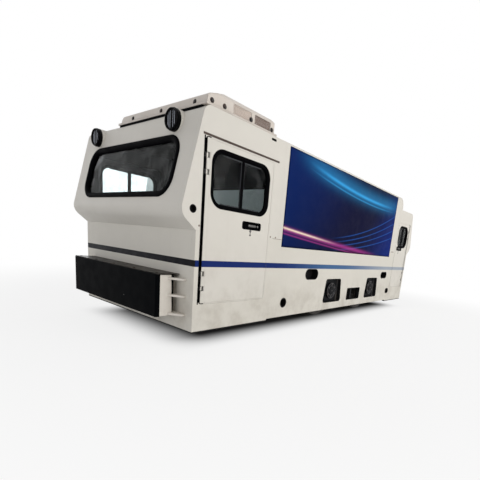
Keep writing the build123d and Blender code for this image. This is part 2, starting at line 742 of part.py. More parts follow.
# Doors: one leaf each with its window cut, two hinge barrels and a recess for the handle
for cab_name, cab in CABS.items():
    for side_name, side in SIDES.items():
        hinge = cab.end * (HALF_LENGTH - DOOR_HINGE_INSET)
        middle, long = door_centre(cab, 0)
        window_long = cab.door_width - 2 * WINDOW_EDGE
        window_x = hinge - cab.end * cab.door_width / 2
        with BuildPart() as door:
            with BuildSketch(side_view(side * HALF_WIDTH)):
                with Locations((middle, (DOOR_SILL + cab.door_top) / 2)):
                    RectangleRounded(long, cab.door_top - DOOR_SILL, LEAF_CORNER)
                with Locations((window_x, cab.window_middle)):
                    RectangleRounded(window_long, cab.window_tall, WINDOW_CORNER, mode=Mode.SUBTRACT)
            extrude(amount=side * WALL)
            handle_x = hinge - cab.end * cab.handle_place
            with BuildSketch(side_view(side * HALF_WIDTH)):
                with Locations((handle_x, HANDLE_HEIGHT)):
                    RectangleRounded(HANDLE_LONG, HANDLE_TALL, HANDLE_CORNER)
            extrude(amount=side * HANDLE_DEPTH, mode=Mode.SUBTRACT)
            for height in hinge_heights(cab):
                with Locations((hinge, side * DOOR_PIVOT, height)):
                    Cylinder(BARREL_RADIUS, BARREL_LENGTH)
                leaf = HINGE_SETBACK + HINGE_LAP
                with Locations((hinge - cab.end * leaf / 2, side * DOOR_PIVOT, height)):
                    Box(leaf, LUG_RADIUS, BARREL_LENGTH)
                with Locations((hinge, side * DOOR_PIVOT, height)):
                    Cylinder(PIN_RADIUS + RUNNING_FIT, BARREL_LENGTH, mode=Mode.SUBTRACT)
        save(door, f"door_{cab_name}_{side_name}")
        with BuildPart() as glass:
            with BuildSketch(side_view(side * (HALF_WIDTH - (WALL - GLASS) / 2))):
                trim = 2 * GLASS_GAP
                with Locations((window_x, cab.window_middle)):
                    RectangleRounded(window_long - trim, cab.window_tall - trim, WINDOW_CORNER - GLASS_GAP)
            extrude(amount=side * GLASS)
        save(glass, f"door_glass_{cab_name}_{side_name}")



def draw_hood_top(outline: BuildSketch, low: float, inset: float) -> None:
    """Draw the side outline of the hood's top with its round rear end."""
    start = back(CAB_LENGTH)
    end = back(HOOD_END + CAP_OVERHANG) + inset
    high = ROOF_HEIGHT - inset
    with BuildLine() as line:
        Polyline((start, low), (start, high), (end, high), (end, low), close=True)
    make_face(line.edges())
    fillet(outline.vertices().sort_by_distance((end, high, 0))[0], CAP_RADIUS - inset)


# Hood over the battery: side panels, bent roof with its round end, battery block
for side_name, side in SIDES.items():
    with BuildPart() as hood_side:
        with BuildSketch(side_view(side * HALF_WIDTH)) as outline:
            draw_hood_top(outline, REAR_ROOF_HEIGHT, 0)
            with Locations((back((CAB_LENGTH + HOOD_END) / 2), (SEAM_HEIGHT + REAR_ROOF_HEIGHT) / 2)):
                Rectangle(HOOD_END - CAB_LENGTH, REAR_ROOF_HEIGHT - SEAM_HEIGHT)
        extrude(amount=side * WALL)
    save(hood_side, f"hood_side_{side_name}")

with BuildPart() as hood_roof:
    with BuildSketch(side_view(INNER_WIDTH)) as outline:
        draw_hood_top(outline, REAR_ROOF_HEIGHT, 0)
    extrude(amount=2 * INNER_WIDTH)
    with BuildSketch(side_view(INNER_WIDTH)) as outline:
        draw_hood_top(outline, REAR_ROOF_HEIGHT, WALL)
    extrude(amount=2 * INNER_WIDTH, mode=Mode.SUBTRACT)
save(hood_roof, "hood_roof")

with BuildPart() as battery_block:
    long = HOOD_END - CAB_LENGTH - 2 * BATTERY_MARGIN
    low = BATTERY_FLOOR + FLOOR_STEEL
    high = ROOF_HEIGHT - WALL - BATTERY_HEADROOM
    with Locations((back((HOOD_END + CAB_LENGTH) / 2), 0, (low + high) / 2)):
        Box(long, BATTERY_WIDE, high - low)
save(battery_block, "battery_block")

# Air conditioner: a flanged base and a low cover with a ramp at the front
cooler_y = HALF_WIDTH - COOLER_WIDTH / 2
cooler_x = HALF_LENGTH - COOLER_SETBACK - COOLER_LENGTH / 2
with BuildPart() as cooler_base:
    with Locations((cooler_x, cooler_y, ROOF_HEIGHT + COOLER_FLANGE / 2)):
        Box(COOLER_LENGTH, COOLER_WIDTH, COOLER_FLANGE)
save(cooler_base, "air_conditioner_base")

with BuildPart() as cooler_cover:
    front = HALF_LENGTH - COOLER_SETBACK - COOLER_INSET
    rear = front - COOLER_LENGTH + 2 * COOLER_INSET
    near = HALF_WIDTH - COOLER_INSET
    far = HALF_WIDTH - COOLER_WIDTH + COOLER_INSET
    foot = ROOF_HEIGHT + COOLER_FLANGE
    high = ROOF_HEIGHT + COOLER_HEIGHT
    with BuildSketch(side_view(near)) as outline:
        with BuildLine():
            Polyline(
                (front, foot),
                (front - COOLER_RAKE, ROOF_HEIGHT + COOLER_FRONT),
                (front - COOLER_RAMP, high),
                (rear, high),
                (rear, foot),
                close=True,
            )
        make_face()
        fillet(outline.vertices().filter_by_position(Axis.Y, foot + 1, high + 1), COOLER_ROUND)
    extrude(amount=near - far)
    with BuildSketch(Plane.YZ.offset(rear)) as section:
        with BuildLine():
            Polyline(
                (near, foot),
                (near, high - COOLER_ROUND),
                (near - COOLER_ROUND, high),
                (far + COOLER_END_SLOPE, high),
                (far, foot + COOLER_ROUND),
                (far, foot),
                close=True,
            )
        make_face()
    extrude(amount=front - rear, mode=Mode.INTERSECT)
    middle = foot + (high - foot - COOLER_ROUND) / 2
    pitch = GRILLE_HIGH / (GRILLE_SLATS + 1)
    for place in (LOUVRE_PLACE, MESH_PLACE):
        with BuildSketch(side_view(near)):
            with Locations((back(place), middle)):
                Rectangle(GRILLE_LONG, GRILLE_HIGH)
        extrude(amount=GRILLE_DEPTH, mode=Mode.SUBTRACT)
        with BuildSketch(side_view(near - GRILLE_SLAT_SINK)):
            with Locations((back(place), middle)):
                with GridLocations(0, pitch, 1, GRILLE_SLATS):
                    Rectangle(GRILLE_LONG, GRILLE_SLAT)
        extrude(amount=GRILLE_DEPTH - GRILLE_SLAT_SINK)
save(cooler_cover, "air_conditioner_cover")

# Banner cloths on both sides of the hood
with BuildPart() as banners:
    for side in SIDES.values():
        middle = back((BANNER_FRONT + BANNER_REAR) / 2)
        with Locations((middle, side * (HALF_WIDTH + BANNER / 2), BANNER_MIDDLE)):
            Box(BANNER_REAR - BANNER_FRONT, BANNER, BANNER_TALL)
save(banners, "banners")

# Seats and control desks seen through the glass
with BuildPart() as seats:
    for cab in CABS.values():
        floor = CAB_FLOOR + FLOOR_STEEL
        rear = cab.end * (HALF_LENGTH - cab.length + WALL)
        with BuildSketch(side_view(SEAT_WIDE / 2)) as cushion:
            with BuildLine():
                Polyline(
                    (rear, SEAT_HEIGHT),
                    (rear + cab.end * SEAT_LONG, SEAT_HEIGHT),
                    (rear + cab.end * SEAT_LONG, SEAT_HEIGHT + SEAT_PAD),
                    (rear + cab.end * SEAT_PAD, SEAT_HEIGHT + SEAT_PAD),
                    (rear + cab.end * SEAT_PAD, SEAT_HEIGHT + SEAT_BACK),
                    (rear, SEAT_HEIGHT + SEAT_BACK),
                    close=True,
                )
            make_face()
            top = SEAT_HEIGHT + SEAT_BACK
            upper = cushion.vertices().filter_by_position(Axis.Y, SEAT_HEIGHT + SEAT_PAD, top)
            fillet(upper, SEAT_ROUND)
        extrude(amount=SEAT_WIDE)
        with Locations((rear + cab.end * SEAT_LONG / 2, 0, (floor + SEAT_HEIGHT) / 2)):
            Box(SEAT_POST_LONG, SEAT_POST_WIDE, SEAT_HEIGHT - floor)
save(seats, "seats")

with BuildPart() as desks:
    for cab in CABS.values():
        floor = CAB_FLOOR + FLOOR_STEEL
        front = cab.end * (HALF_LENGTH - DESK_SETBACK)
        rear = front - cab.end * cab.desk_long
        with BuildSketch(side_view(DESK_WIDE / 2)) as outline:
            with BuildLine():
                Polyline(
                    (front, floor),
                    (front, DESK_HEIGHT),
                    (rear, DESK_HEIGHT - DESK_SLOPE),
                    (rear, floor),
                    close=True,
                )
            make_face()
        extrude(amount=DESK_WIDE)
save(desks, "desks")
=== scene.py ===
"""Looks of the two-cab battery locomotive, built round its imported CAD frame."""

import logging
import math
from collections.abc import Callable, Iterable
from dataclasses import dataclass, field, replace
from enum import Enum
from itertools import product

import bmesh
import bpy
from bpy.types import Material, Mesh, Node, NodeSocket, NodeTree, Object
from mathutils import Matrix, Vector


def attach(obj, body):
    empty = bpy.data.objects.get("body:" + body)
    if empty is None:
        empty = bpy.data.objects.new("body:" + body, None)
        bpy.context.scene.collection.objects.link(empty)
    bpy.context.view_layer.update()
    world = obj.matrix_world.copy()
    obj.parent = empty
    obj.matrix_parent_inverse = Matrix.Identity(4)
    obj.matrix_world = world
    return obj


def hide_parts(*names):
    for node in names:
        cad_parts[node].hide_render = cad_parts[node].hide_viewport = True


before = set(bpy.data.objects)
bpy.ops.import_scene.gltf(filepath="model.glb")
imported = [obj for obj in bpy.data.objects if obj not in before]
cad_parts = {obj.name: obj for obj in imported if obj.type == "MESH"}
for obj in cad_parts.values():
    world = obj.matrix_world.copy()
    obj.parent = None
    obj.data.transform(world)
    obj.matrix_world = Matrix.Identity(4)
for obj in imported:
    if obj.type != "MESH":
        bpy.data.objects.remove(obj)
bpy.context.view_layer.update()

log = logging.getLogger("locomotive")

Rgba = tuple[float, float, float, float]
Spot = tuple[float, float]
Triple = tuple[float, float, float]
Quad = tuple[float, float, float, float]
Section = tuple[Spot, ...]
Value = NodeSocket | float | tuple

HALF_WIDTH = 0.675
# The back of a strip stands off the face that carries it by this.
LIFT = 0.0001
BANNER_FRONT, BANNER_LOW = 0.960, 0.6425
BANNER_LONG, BANNER_TALL = 2.085, 0.680
SOCKET_TYPES = {float: "Float", int: "Int", tuple: "Vector"}


class Slot(Enum):
    """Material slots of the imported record."""

    CREAM = "cream_paint"
    BLACK = "black_paint"
    CHASSIS = "chassis_paint"
    GLASS = "window_glass"
    STEEL = "axle_steel"
    IRON = "wheel_iron"
    RUBBER = "spring_rubber"
    LAMP = "lamp_plastic"
    CLOTH = "banner_cloth"
    LEATHER = "seat_leather"
    DESK = "desk_plastic"
    BATTERY = "battery_plastic"


class Side(Enum):
    """The two long sides; the value is the sign of Y."""

    LEFT = 1
    RIGHT = -1

    @property
    def word(self) -> str:
        """The side's name as the CAD nodes have it."""
        return self.name.lower()

    @property
    def out(self) -> Vector:
        """The unit vector that points out of this side."""
        return Vector((0, self.value, 0))


def tone(red: float, green: float, blue: float) -> Rgba:
    """Turn a screen colour into the linear colour that a shader takes.

    Args:
        red: Red, 0 to 255.
        green: Green, 0 to 255.
        blue: Blue, 0 to 255.

    Returns:
        Linear red, green, blue and an alpha of one.
    """
    parts = [x / 255 for x in (red, green, blue)]
    line = [x / 12.92 if x <= 0.04045 else ((x + 0.055) / 1.055) ** 2.4 for x in parts]
    return (*line, 1.0)


class Graph:
    """Short calls for adding and joining the nodes of one tree."""

    def __init__(self, tree: NodeTree) -> None:
        """Take the tree to work on."""
        self.tree = tree

    def add(self, kind: str, **settings: object) -> Node:
        """Add a node of a type, with these properties."""
        node = self.tree.nodes.new(kind)
        for name, value in settings.items():
            setattr(node, name, value)
        return node

    def feed(self, socket: NodeSocket, value: Value) -> None:
        """Join a socket to another, or set its own value."""
        if isinstance(value, NodeSocket):
            self.tree.links.new(value, socket)
        else:
            socket.default_value = value

    def call(self, kind: str, out: int = 0, feeds: dict | None = None,
             **settings: object) -> NodeSocket:
        """Add a node, feed its inputs and return one output.

        Args:
            kind: The node's type name.
            out: Number of the output that is returned.
            feeds: Values or sockets by input name or number.
            settings: Properties of the node by name.

        Returns:
            The chosen output socket.
        """
        node = self.add(kind, **settings)
        for key, value in (feeds or {}).items():
            self.feed(node.inputs[key], value)
        return node.outputs[out]

    def calc(self, operation: str, a: Value, b: Value = 0.0, clamp: bool = False) -> NodeSocket:
        """Return the result of a Math node."""
        return self.call("ShaderNodeMath", feeds={0: a, 1: b}, operation=operation,
                         use_clamp=clamp)

    def mul(self, a: Value, b: Value, clamp: bool = False) -> NodeSocket:
        """Return a times b."""
        return self.calc("MULTIPLY", a, b, clamp)

    def plus(self, a: Value, b: Value, clamp: bool = False) -> NodeSocket:
        """Return a plus b."""
        return self.calc("ADD", a, b, clamp)

    def minus(self, a: Value, b: Value) -> NodeSocket:
        """Return a less b."""
        return self.calc("SUBTRACT", a, b)

    def over(self, a: Value, b: Value) -> NodeSocket:
        """Return one where a is over b."""
        return self.calc("GREATER_THAN", a, b)

    def remap(self, value: Value, low: Value, high: Value, start: float = 0.0,
              end: float = 1.0) -> NodeSocket:
        """Return value carried smoothly from low..high to start..end."""
        feeds = {0: value, 1: low, 2: high, 3: start, 4: end}
        return self.call("ShaderNodeMapRange", feeds=feeds, interpolation_type="SMOOTHSTEP")

    def blend(self, factor: Value, a: Value, b: Value, mode: str = "MIX") -> NodeSocket:
        """Return two colours mixed by a factor."""
        feeds = {0: factor, 6: a, 7: b}
        return self.call("ShaderNodeMix", 2, feeds, data_type="RGBA", blend_type=mode)

    def noise(self, vector: Value, scale: Value, detail: float = 3.0,
              rough: float = 0.5) -> NodeSocket:
        """Return the grey value of a noise texture."""
        feeds = {"Vector": vector, "Scale": scale, "Detail": detail, "Roughness": rough}
        return self.call("ShaderNodeTexNoise", feeds=feeds)

    def cells(self, vector: Value, scale: Value, feature: str = "F1") -> NodeSocket:
        """Return the distance of a Voronoi texture."""
        feeds = {"Vector": vector, "Scale": scale}
        return self.call("ShaderNodeTexVoronoi", feeds=feeds, feature=feature)

    def vector(self, x: Value = 0.0, y: Value = 0.0, z: Value = 0.0) -> NodeSocket:
        """Return a vector of three values."""
        return self.call("ShaderNodeCombineXYZ", feeds={0: x, 1: y, 2: z})

    def axes(self, vector: Value) -> tuple:
        """Return the X, Y and Z of a vector."""
        node = self.add("ShaderNodeSeparateXYZ")
        self.feed(node.inputs[0], vector)
        return tuple(node.outputs)

    def place(self, out: str = "Object") -> NodeSocket:
        """Return an output of the Texture Coordinate node."""
        return self.add("ShaderNodeTexCoord").outputs[out]

    def mask(self, effect: "Effect", **feeds: Value) -> NodeSocket:
        """Place a shared effect and return its first output."""
        return self.use(effect, **feeds).outputs[0]

    def use(self, effect: "Effect", **feeds: Value) -> Node:
        """Place a shared effect with its own feeds, named as its inputs with _ for a space."""
        node = self.add("ShaderNodeGroup", node_tree=effect.tree())
        for key, value in feeds.items():
            self.feed(node.inputs[key.replace("_", " ")], value)
        return node


def new_group(name: str, kind: str, inputs: dict[str, Value | int | str],
              outputs: dict[str, str]) -> tuple[Graph, dict, dict]:
    """Start a node group.

    Args:
        name: Name of the group.
        kind: Its tree's type name.
        inputs: Default value of each input, or its socket type where it has no value.
        outputs: NodeSocket type of each output.

    Returns:
        The graph, and its input and output sockets by name.
    """
    tree = bpy.data.node_groups.new(name, kind)
    for label, start in inputs.items():
        sort = start if isinstance(start, str) else SOCKET_TYPES[type(start)]
        made = tree.interface.new_socket(label, in_out="INPUT", socket_type=f"NodeSocket{sort}")
        if sort != start:
            made.default_value = start
    for label, sort in outputs.items():
        tree.interface.new_socket(label, in_out="OUTPUT", socket_type=f"NodeSocket{sort}")
    graph = Graph(tree)
    given = {s.name: s for s in graph.add("NodeGroupInput").outputs if s.name}
    wanted = {s.name: s for s in graph.add("NodeGroupOutput").inputs if s.name}
    return graph, given, wanted


@dataclass(frozen=True)
class Effect:
    """A shader node group that several finishes share."""

    name: str
    inputs: dict[str, Value]
    outputs: dict[str, str]
    draw: Callable[[Graph, dict, dict], None]

    def tree(self) -> NodeTree:
        """Return the node group, built on first use."""
        ready = bpy.data.node_groups.get(self.name)
        if not ready:
            graph, given, wanted = new_group(self.name, "ShaderNodeTree", self.inputs, self.outputs)
            self.draw(graph, given, wanted)
            ready = graph.tree
        return ready


def draw_band(g: Graph, given: dict, wanted: dict) -> None:
    """Mask of one where a value lies between two limits."""
    rise = g.call("ShaderNodeMapRange", feeds={
        0: given["Value"], 1: given["Low"], 2: g.plus(given["Low"], given["Soft"])})
    fall = g.call("ShaderNodeMapRange", feeds={
        0: given["Value"], 1: g.minus(given["High"], given["Soft"]),
        2: given["High"], 3: 1.0, 4: 0.0})
    g.feed(wanted["Mask"], g.mul(rise, fall))


def draw_skin(g: Graph, given: dict, wanted: dict) -> None:
    """Mask of one on faces that turn away from a centre, so on a shell's outer side."""
    away = g.call("ShaderNodeVectorMath", feeds={0: g.place(), 1: given["Centre"]},
                  operation="SUBTRACT")
    facing = g.call("ShaderNodeVectorMath", 1, {0: away, 1: g.place("Normal")},
                    operation="DOT_PRODUCT")
    g.feed(wanted["Outside"], g.over(facing, 0.0))


def draw_grime(g: Graph, given: dict, wanted: dict) -> None:
    """Mask of dust that thins out upwards, with vertical runs in it."""
    spot = g.place()
    up = g.axes(spot)[2]
    reach = g.remap(up, given["Low"], given["High"], 1.0, 0.0)
    patch = g.remap(g.noise(spot, given["Scale"], 5.0, 0.62), 0.38, 0.72)
    drawn = g.call("ShaderNodeVectorMath", feeds={0: spot, 1: (17.0, 17.0, 1.3)},
                   operation="MULTIPLY")
    runs = g.remap(g.noise(drawn, 1.0, 2.0), 0.60, 0.82)
    mixed = g.plus(g.mul(patch, reach), g.mul(runs, 0.10))
    g.feed(wanted["Mask"], g.mul(mixed, given["Amount"], clamp=True))


def draw_grain(g: Graph, given: dict, wanted: dict) -> None:
    """Height of a fine sprayed or moulded surface, and a slow swell of the sheet."""
    spot = g.place()
    fine = g.noise(spot, given["Scale"], 2.0, 0.55)
    slow = g.noise(spot, 3.2, 1.0, 0.4)
    height = g.plus(g.mul(fine, given["Fine"]), g.mul(slow, given["Swell"]))
    g.feed(wanted["Height"], height)


def draw_edges(g: Graph, given: dict, wanted: dict) -> None:
    """Normal of slightly rounded edges, and a broken mask along them for wear, and for a painted
    highlight where a finish's edge tone is pale.
    """
    round_edge = g.call("ShaderNodeBevel", feeds={0: given["Radius"]}, samples=4)
    straight = g.add("ShaderNodeNewGeometry").outputs["Normal"]
    turn = g.call("ShaderNodeVectorMath", 1, {0: round_edge, 1: straight},
                  operation="DOT_PRODUCT")
    edge = g.remap(turn, 0.998, 0.9)
    patch = g.remap(g.noise(g.place(), given["Scale"], 4.0, 0.65), given["Cover"], 0.75)
    g.feed(wanted["Normal"], round_edge)
    g.feed(wanted["Mask"], g.mul(edge, patch))


def draw_shift(g: Graph, given: dict, wanted: dict) -> None:
    """Slow light and dark variation, as a colour to multiply with."""
    spot = g.place()
    wide = g.noise(spot, given["Scale"], 2.0, 0.5)
    near = g.noise(spot, g.mul(given["Scale"], 9.0), 4.0, 0.6)
    both = g.plus(g.mul(wide, 0.7), g.mul(near, 0.3))
    low = g.minus(1.0, given["Depth"])
    lift = g.call("ShaderNodeMapRange", feeds={0: both, 1: 0.3, 2: 0.7, 3: low, 4: 1.0})
    g.feed(wanted["Shade"], g.call("ShaderNodeCombineColor", feeds={0: lift, 1: lift, 2: lift}))


BAND = Effect("Band", {"Value": 0.0, "Low": 0.0, "High": 1.0, "Soft": 0.001},
              {"Mask": "Float"}, draw_band)
SKIN = Effect("Outer Skin", {"Centre": (0.0, 0.0, 0.0)}, {"Outside": "Float"}, draw_skin)
GRIME = Effect("Grime", {"Low": 0.1, "High": 0.7, "Scale": 6.0, "Amount": 0.3},
               {"Mask": "Float"}, draw_grime)
GRAIN = Effect("Grain", {"Scale": 400.0, "Fine": 0.5, "Swell": 0.0}, {"Height": "Float"}, draw_grain)
EDGE_WEAR_AND_HIGHLIGHT = Effect("Edge Wear", {"Radius": 0.003, "Scale": 20.0, "Cover": 0.45},
               {"Normal": "Vector", "Mask": "Float"}, draw_edges)
SHIFT = Effect("Tone Shift", {"Scale": 1.5, "Depth": 0.06}, {"Shade": "Color"}, draw_shift)


@dataclass(frozen=True)
class Finish:
    """One material: its name, record slot and the plain values of its shader."""

    name: str
    slot: Slot
    colour: Rgba = (0.5, 0.5, 0.5, 1.0)
    rough: float = 0.5
    metal: float = 0.0
    coat: float = 0.0
    coat_rough: float = 0.12
    gloss: float = 0.5
    bump: float = 0.15
    depth: float = 0.002
    grain: float = 400.0
    fine: float = 0.5
    swell: float = 0.0
    edge: float = 0.002
    edge_tone: Rgba = (0.3, 0.3, 0.3, 1.0)
    edge_amount: float = 0.0
    shift: float = 0.06
    shift_scale: float = 1.5

    def material(self) -> Material:
        """Return the material, built on first use."""
        ready = bpy.data.materials.get(self.name)
        if ready:
            return ready
        made = bpy.data.materials.new(self.name)
        made.use_nodes = True
        made.node_tree.nodes.clear()
        graph = Graph(made.node_tree)
        shader = graph.add("ShaderNodeBsdfPrincipled")
        output = graph.add("ShaderNodeOutputMaterial")
        graph.feed(output.inputs["Surface"], shader.outputs[0])
        shader.inputs["Metallic"].default_value = self.metal
        shader.inputs["Coat Weight"].default_value = self.coat
        shader.inputs["Specular IOR Level"].default_value = self.gloss
        shader.inputs["Coat Roughness"].default_value = self.coat_rough
        self.dress(graph, shader)
        return made

    def dress(self, g: Graph, shader: Node) -> None:
        """Give the shader its colour, roughness and relief."""
        edges = g.use(EDGE_WEAR_AND_HIGHLIGHT, Radius=self.edge)
        shade = g.mask(SHIFT, Scale=self.shift_scale, Depth=self.shift)
        base = g.blend(1.0, self.paint(g), shade, "MULTIPLY")
        # The edge tone is wear, and in the cooler shell and lamp bars a painted highlight.
        edge_wear_and_highlight = g.mul(edges.outputs["Mask"], self.edge_amount)
        g.feed(shader.inputs["Base Color"], g.blend(edge_wear_and_highlight, base, self.edge_tone))
        g.feed(shader.inputs["Roughness"], self.sheen(g))
        height = g.mask(GRAIN, Scale=self.grain, Fine=self.fine, Swell=self.swell)
        normal = g.call("ShaderNodeBump", feeds={
            "Strength": self.bump, "Distance": self.depth, "Normal": edges.outputs["Normal"],
            "Height": self.relief(g, height)})
        g.feed(shader.inputs["Normal"], normal)

    def paint(self, g: Graph) -> Value:
        """Return the colour before the slow variation and the edge tone, which is wear in most
        finishes and a painted highlight in some.
        """
        return self.colour

    def sheen(self, g: Graph) -> Value:
        """Return the roughness, a little uneven."""
        blotch = g.noise(g.place(), 14.0, 4.0, 0.6)
        return g.remap(blotch, 0.3, 0.7, max(0.02, self.rough - 0.06), self.rough + 0.08)

    def relief(self, g: Graph, height: NodeSocket) -> Value:
        """Return the height that the bump takes."""
        return height


@dataclass(frozen=True)
class Paint(Finish):
    """Sprayed steel sheet with dust low down, the livery stripe with painted glare and shade, and a
    dark inside that is painted shade.
    """

    dust: Rgba = (0.3, 0.27, 0.23, 1.0)
    dust_amount: float = 0.35
    dust_low: float = 0.1
    dust_high: float = 0.75
    stripe: bool = False
    stripe_low: float = 0.488
    stripe_high: float = 0.526
    side_face: float = 0.668
    end_face: float = 1.719
    # On the ends the stripe is painted near black as painted shade; towards the rear its blue pales
    # to the middle and far colours as painted glare.
    stripe_front: Rgba = tone(1, 1, 10)
    stripe_near: Rgba = tone(8, 36, 102)
    stripe_middle: Rgba = tone(62, 98, 142)
    stripe_far: Rgba = tone(158, 166, 178)
    # Ranges of X over which the painted glare pales the stripe.
    near_fade: Spot = (1.0, 0.2)
    far_fade: Spot = (0.1, -1.2)
    # A dark colour painted over a shell's inner side, and over the frame's cut edges within core, as
    # painted shade.
    lining: Rgba | None = None
    lining_centre: Triple = (0.0, 0.0, 0.9)
    core: float = 0.0
    lug_start: float = 1.650
    lug_depth: float = 0.004
    flap_end: float = 1.6725
    # Limits in X of the hinge gap, whose faces, lugs and barrels are painted dark as painted shade.
    jamb: Spot | None = None
    jamb_wall: Spot = (0.640, 0.6695)
    jamb_step: float = 0.0048
    jamb_foot: float = 0.262
    jamb_top: float = 1.187
    lip: float = 0.0
    chips: float = 0.0
    chip_scale: float = 5.5
    chip_size: Spot = (0.030, 0.016)
    chip_tone: Rgba = tone(196, 194, 190)
    dark: Rgba = tone(16, 16, 18)

    def stripe_mask(self, g: Graph, along: NodeSocket, off: NodeSocket, up: NodeSocket) -> NodeSocket:
        """Return the mask of the stripe on the sides and the ends."""
        band = g.mask(BAND, Value=up, Low=self.stripe_low, High=self.stripe_high)
        side = g.over(off, self.side_face)
        end = g.over(along, self.end_face)
        return g.mul(band, g.calc("MAXIMUM", side, end))

    def stripe_hue(self, g: Graph, across: NodeSocket, along: NodeSocket) -> NodeSocket:
        """Return the stripe's blue, paled towards the rear by painted glare and near black on the
        ends as painted shade.
        """
        blue = g.blend(g.remap(across, *self.near_fade), self.stripe_near, self.stripe_middle)
        blue = g.blend(g.remap(across, *self.far_fade), blue, self.stripe_far)
        return g.blend(g.over(along, self.end_face), blue, self.stripe_front)

    def outside(self, g: Graph, along: NodeSocket, off: NodeSocket) -> NodeSocket:
        """Return the mask of a shell's outer side, less its core where it has one; the rest is
        painted dark as painted shade.
        """
        outside = g.mask(SKIN, Centre=self.lining_centre)
        if not self.core:
            return outside
        lug = g.mask(BAND, Value=along, Low=self.lug_start, High=self.flap_end)
        core = g.minus(self.core, g.mul(lug, self.lug_depth))
        skin = g.over(off, core)
        end = g.over(along, self.end_face)
        return g.mul(outside, g.calc("MAXIMUM", skin, end))

    def jamb_mask(self, g: Graph, along: NodeSocket, off: NodeSocket, up: NodeSocket) -> NodeSocket:
        """Return the mask of the gap between a door's hinge side and its doorway, whose faces are
        painted dark as painted shade.
        """
        near = g.mask(BAND, Value=along, Low=self.jamb[0], High=self.jamb[1])
        slot = g.over(along, self.flap_end)
        low, high = self.jamb_wall
        top = g.plus(high, g.mul(slot, self.jamb_step))
        wall = g.mask(BAND, Value=off, Low=low, High=top)
        tall = g.mask(BAND, Value=up, Low=self.jamb_foot, High=self.jamb_top)
        return g.mul(near, g.mul(wall, tall))

    def paint(self, g: Graph) -> Value:
        """Return paint, stripe, dust, painted shade inside and in the hinge gaps, and chips, each
        over the one before.
        """
        spot = g.place()
        across, deep, up = g.axes(spot)
        along, off = g.calc("ABSOLUTE", across), g.calc("ABSOLUTE", deep)
        colour: Value = self.colour
        bare: Value = 1.0
        if self.stripe:
            mask = self.stripe_mask(g, along, off, up)
            # The stripe's blue carries painted glare towards the rear and painted shade on the ends.
            colour = g.blend(mask, colour, self.stripe_hue(g, across, along))
            bare = g.minus(1.0, mask)
        grime = g.mask(GRIME, Low=self.dust_low, High=self.dust_high, Amount=self.dust_amount)
        colour = g.blend(g.mul(grime, bare), colour, self.dust)
        # Inside the shell the colour goes dark: painted shade.
        if self.lining:
            colour = g.blend(self.outside(g, along, off), self.lining, colour)
        # The hinge gap is painted dark: painted shade.
        if self.jamb:
            colour = g.blend(self.jamb_mask(g, along, off, up), colour, self.dark)
        if self.lip:
            colour = g.blend(g.calc("LESS_THAN", up, self.lip), colour, self.dark)
        if self.chips:
            chip = g.remap(g.cells(spot, self.chip_scale), *self.chip_size)
            colour = g.blend(g.mul(chip, self.chips), colour, self.chip_tone)
        return colour


@dataclass(frozen=True)
class PanelPaint(Paint):
    """Bulkhead paint, pale low down and dark above as painted shade of the cab's inside."""

    split: float = 1.03
    low_tone: Rgba = tone(246, 250, 250)

    def paint(self, g: Graph) -> Value:
        """Return the pale paint up to the split, and the dark painted shade above it."""
        up = g.axes(g.place())[2]
        return g.blend(g.over(up, self.split), self.low_tone, super().paint(g))


@dataclass(frozen=True)
class LampPaint(Paint):
    """Lamp housing: body paint behind, black from the bezel to the lens."""

    front_bezel: float = 1.729
    rear_bezel: float = -1.759

    def paint(self, g: Graph) -> Value:
        """Return the housing's paint with its black front."""
        colour = super().paint(g)
        across = g.axes(g.place())[0]
        front = g.over(across, self.front_bezel)
        rear = g.calc("LESS_THAN", across, self.rear_bezel)
        return g.blend(g.calc("MAXIMUM", front, rear), colour, self.dark)


@dataclass(frozen=True)
class Iron(Finish):
    """Cast or rolled metal with thin blotches of rust."""

    rust: Rgba = tone(96, 62, 44)
    rust_amount: float = 0.5

    def paint(self, g: Graph) -> Value:
        """Return the metal's colour with its rust."""
        blotch = g.remap(g.noise(g.place(), 22.0, 6.0, 0.7), 0.45, 0.7)
        return g.blend(g.mul(blotch, self.rust_amount), self.colour, self.rust)


@dataclass(frozen=True)
class Glazing(Finish):
    """Thin safety glass under a faint film that lies in warped patches."""

    bend: float = 1.09
    film: float = 0.25
    warp: float = 0.5
    patches: Spot = (0.42, 0.72)

    def dress(self, g: Graph, shader: Node) -> None:
        """Give the shader clear transmission, the film as its coat and a slight ripple."""
        shader.inputs["Transmission Weight"].default_value = 1.0
        shader.inputs["IOR"].default_value = self.bend
        warped = g.call("ShaderNodeVectorMath", operation="MULTIPLY_ADD", feeds={
            0: g.noise(g.place(), 4.0, 2.0), 1: (self.warp,) * 3, 2: g.place()})
        haze = g.remap(g.noise(warped, 9.0, 4.0, 0.6), *self.patches)
        g.feed(shader.inputs["Coat Weight"], g.mul(haze, self.film))
        g.feed(shader.inputs["Roughness"], g.mul(haze, self.rough))
        g.feed(shader.inputs["Base Color"], g.blend(haze, self.colour, self.edge_tone))
        ripple = g.call("ShaderNodeBump", feeds={
            "Strength": self.bump, "Distance": self.depth, "Height": g.noise(g.place(), 5.0, 1.0)})
        g.feed(shader.inputs["Normal"], ripple)


@dataclass(frozen=True)
class Hide(Finish):
    """Leather cloth with pebbled grain and fine creases."""

    def relief(self, g: Graph, height: NodeSocket) -> Value:
        """Return pebbles with creases between them."""
        pebble = g.cells(g.place(), self.grain, "DISTANCE_TO_EDGE")
        crease = g.remap(pebble, 0.0, 0.12)
        return g.plus(crease, g.mul(height, 0.4))


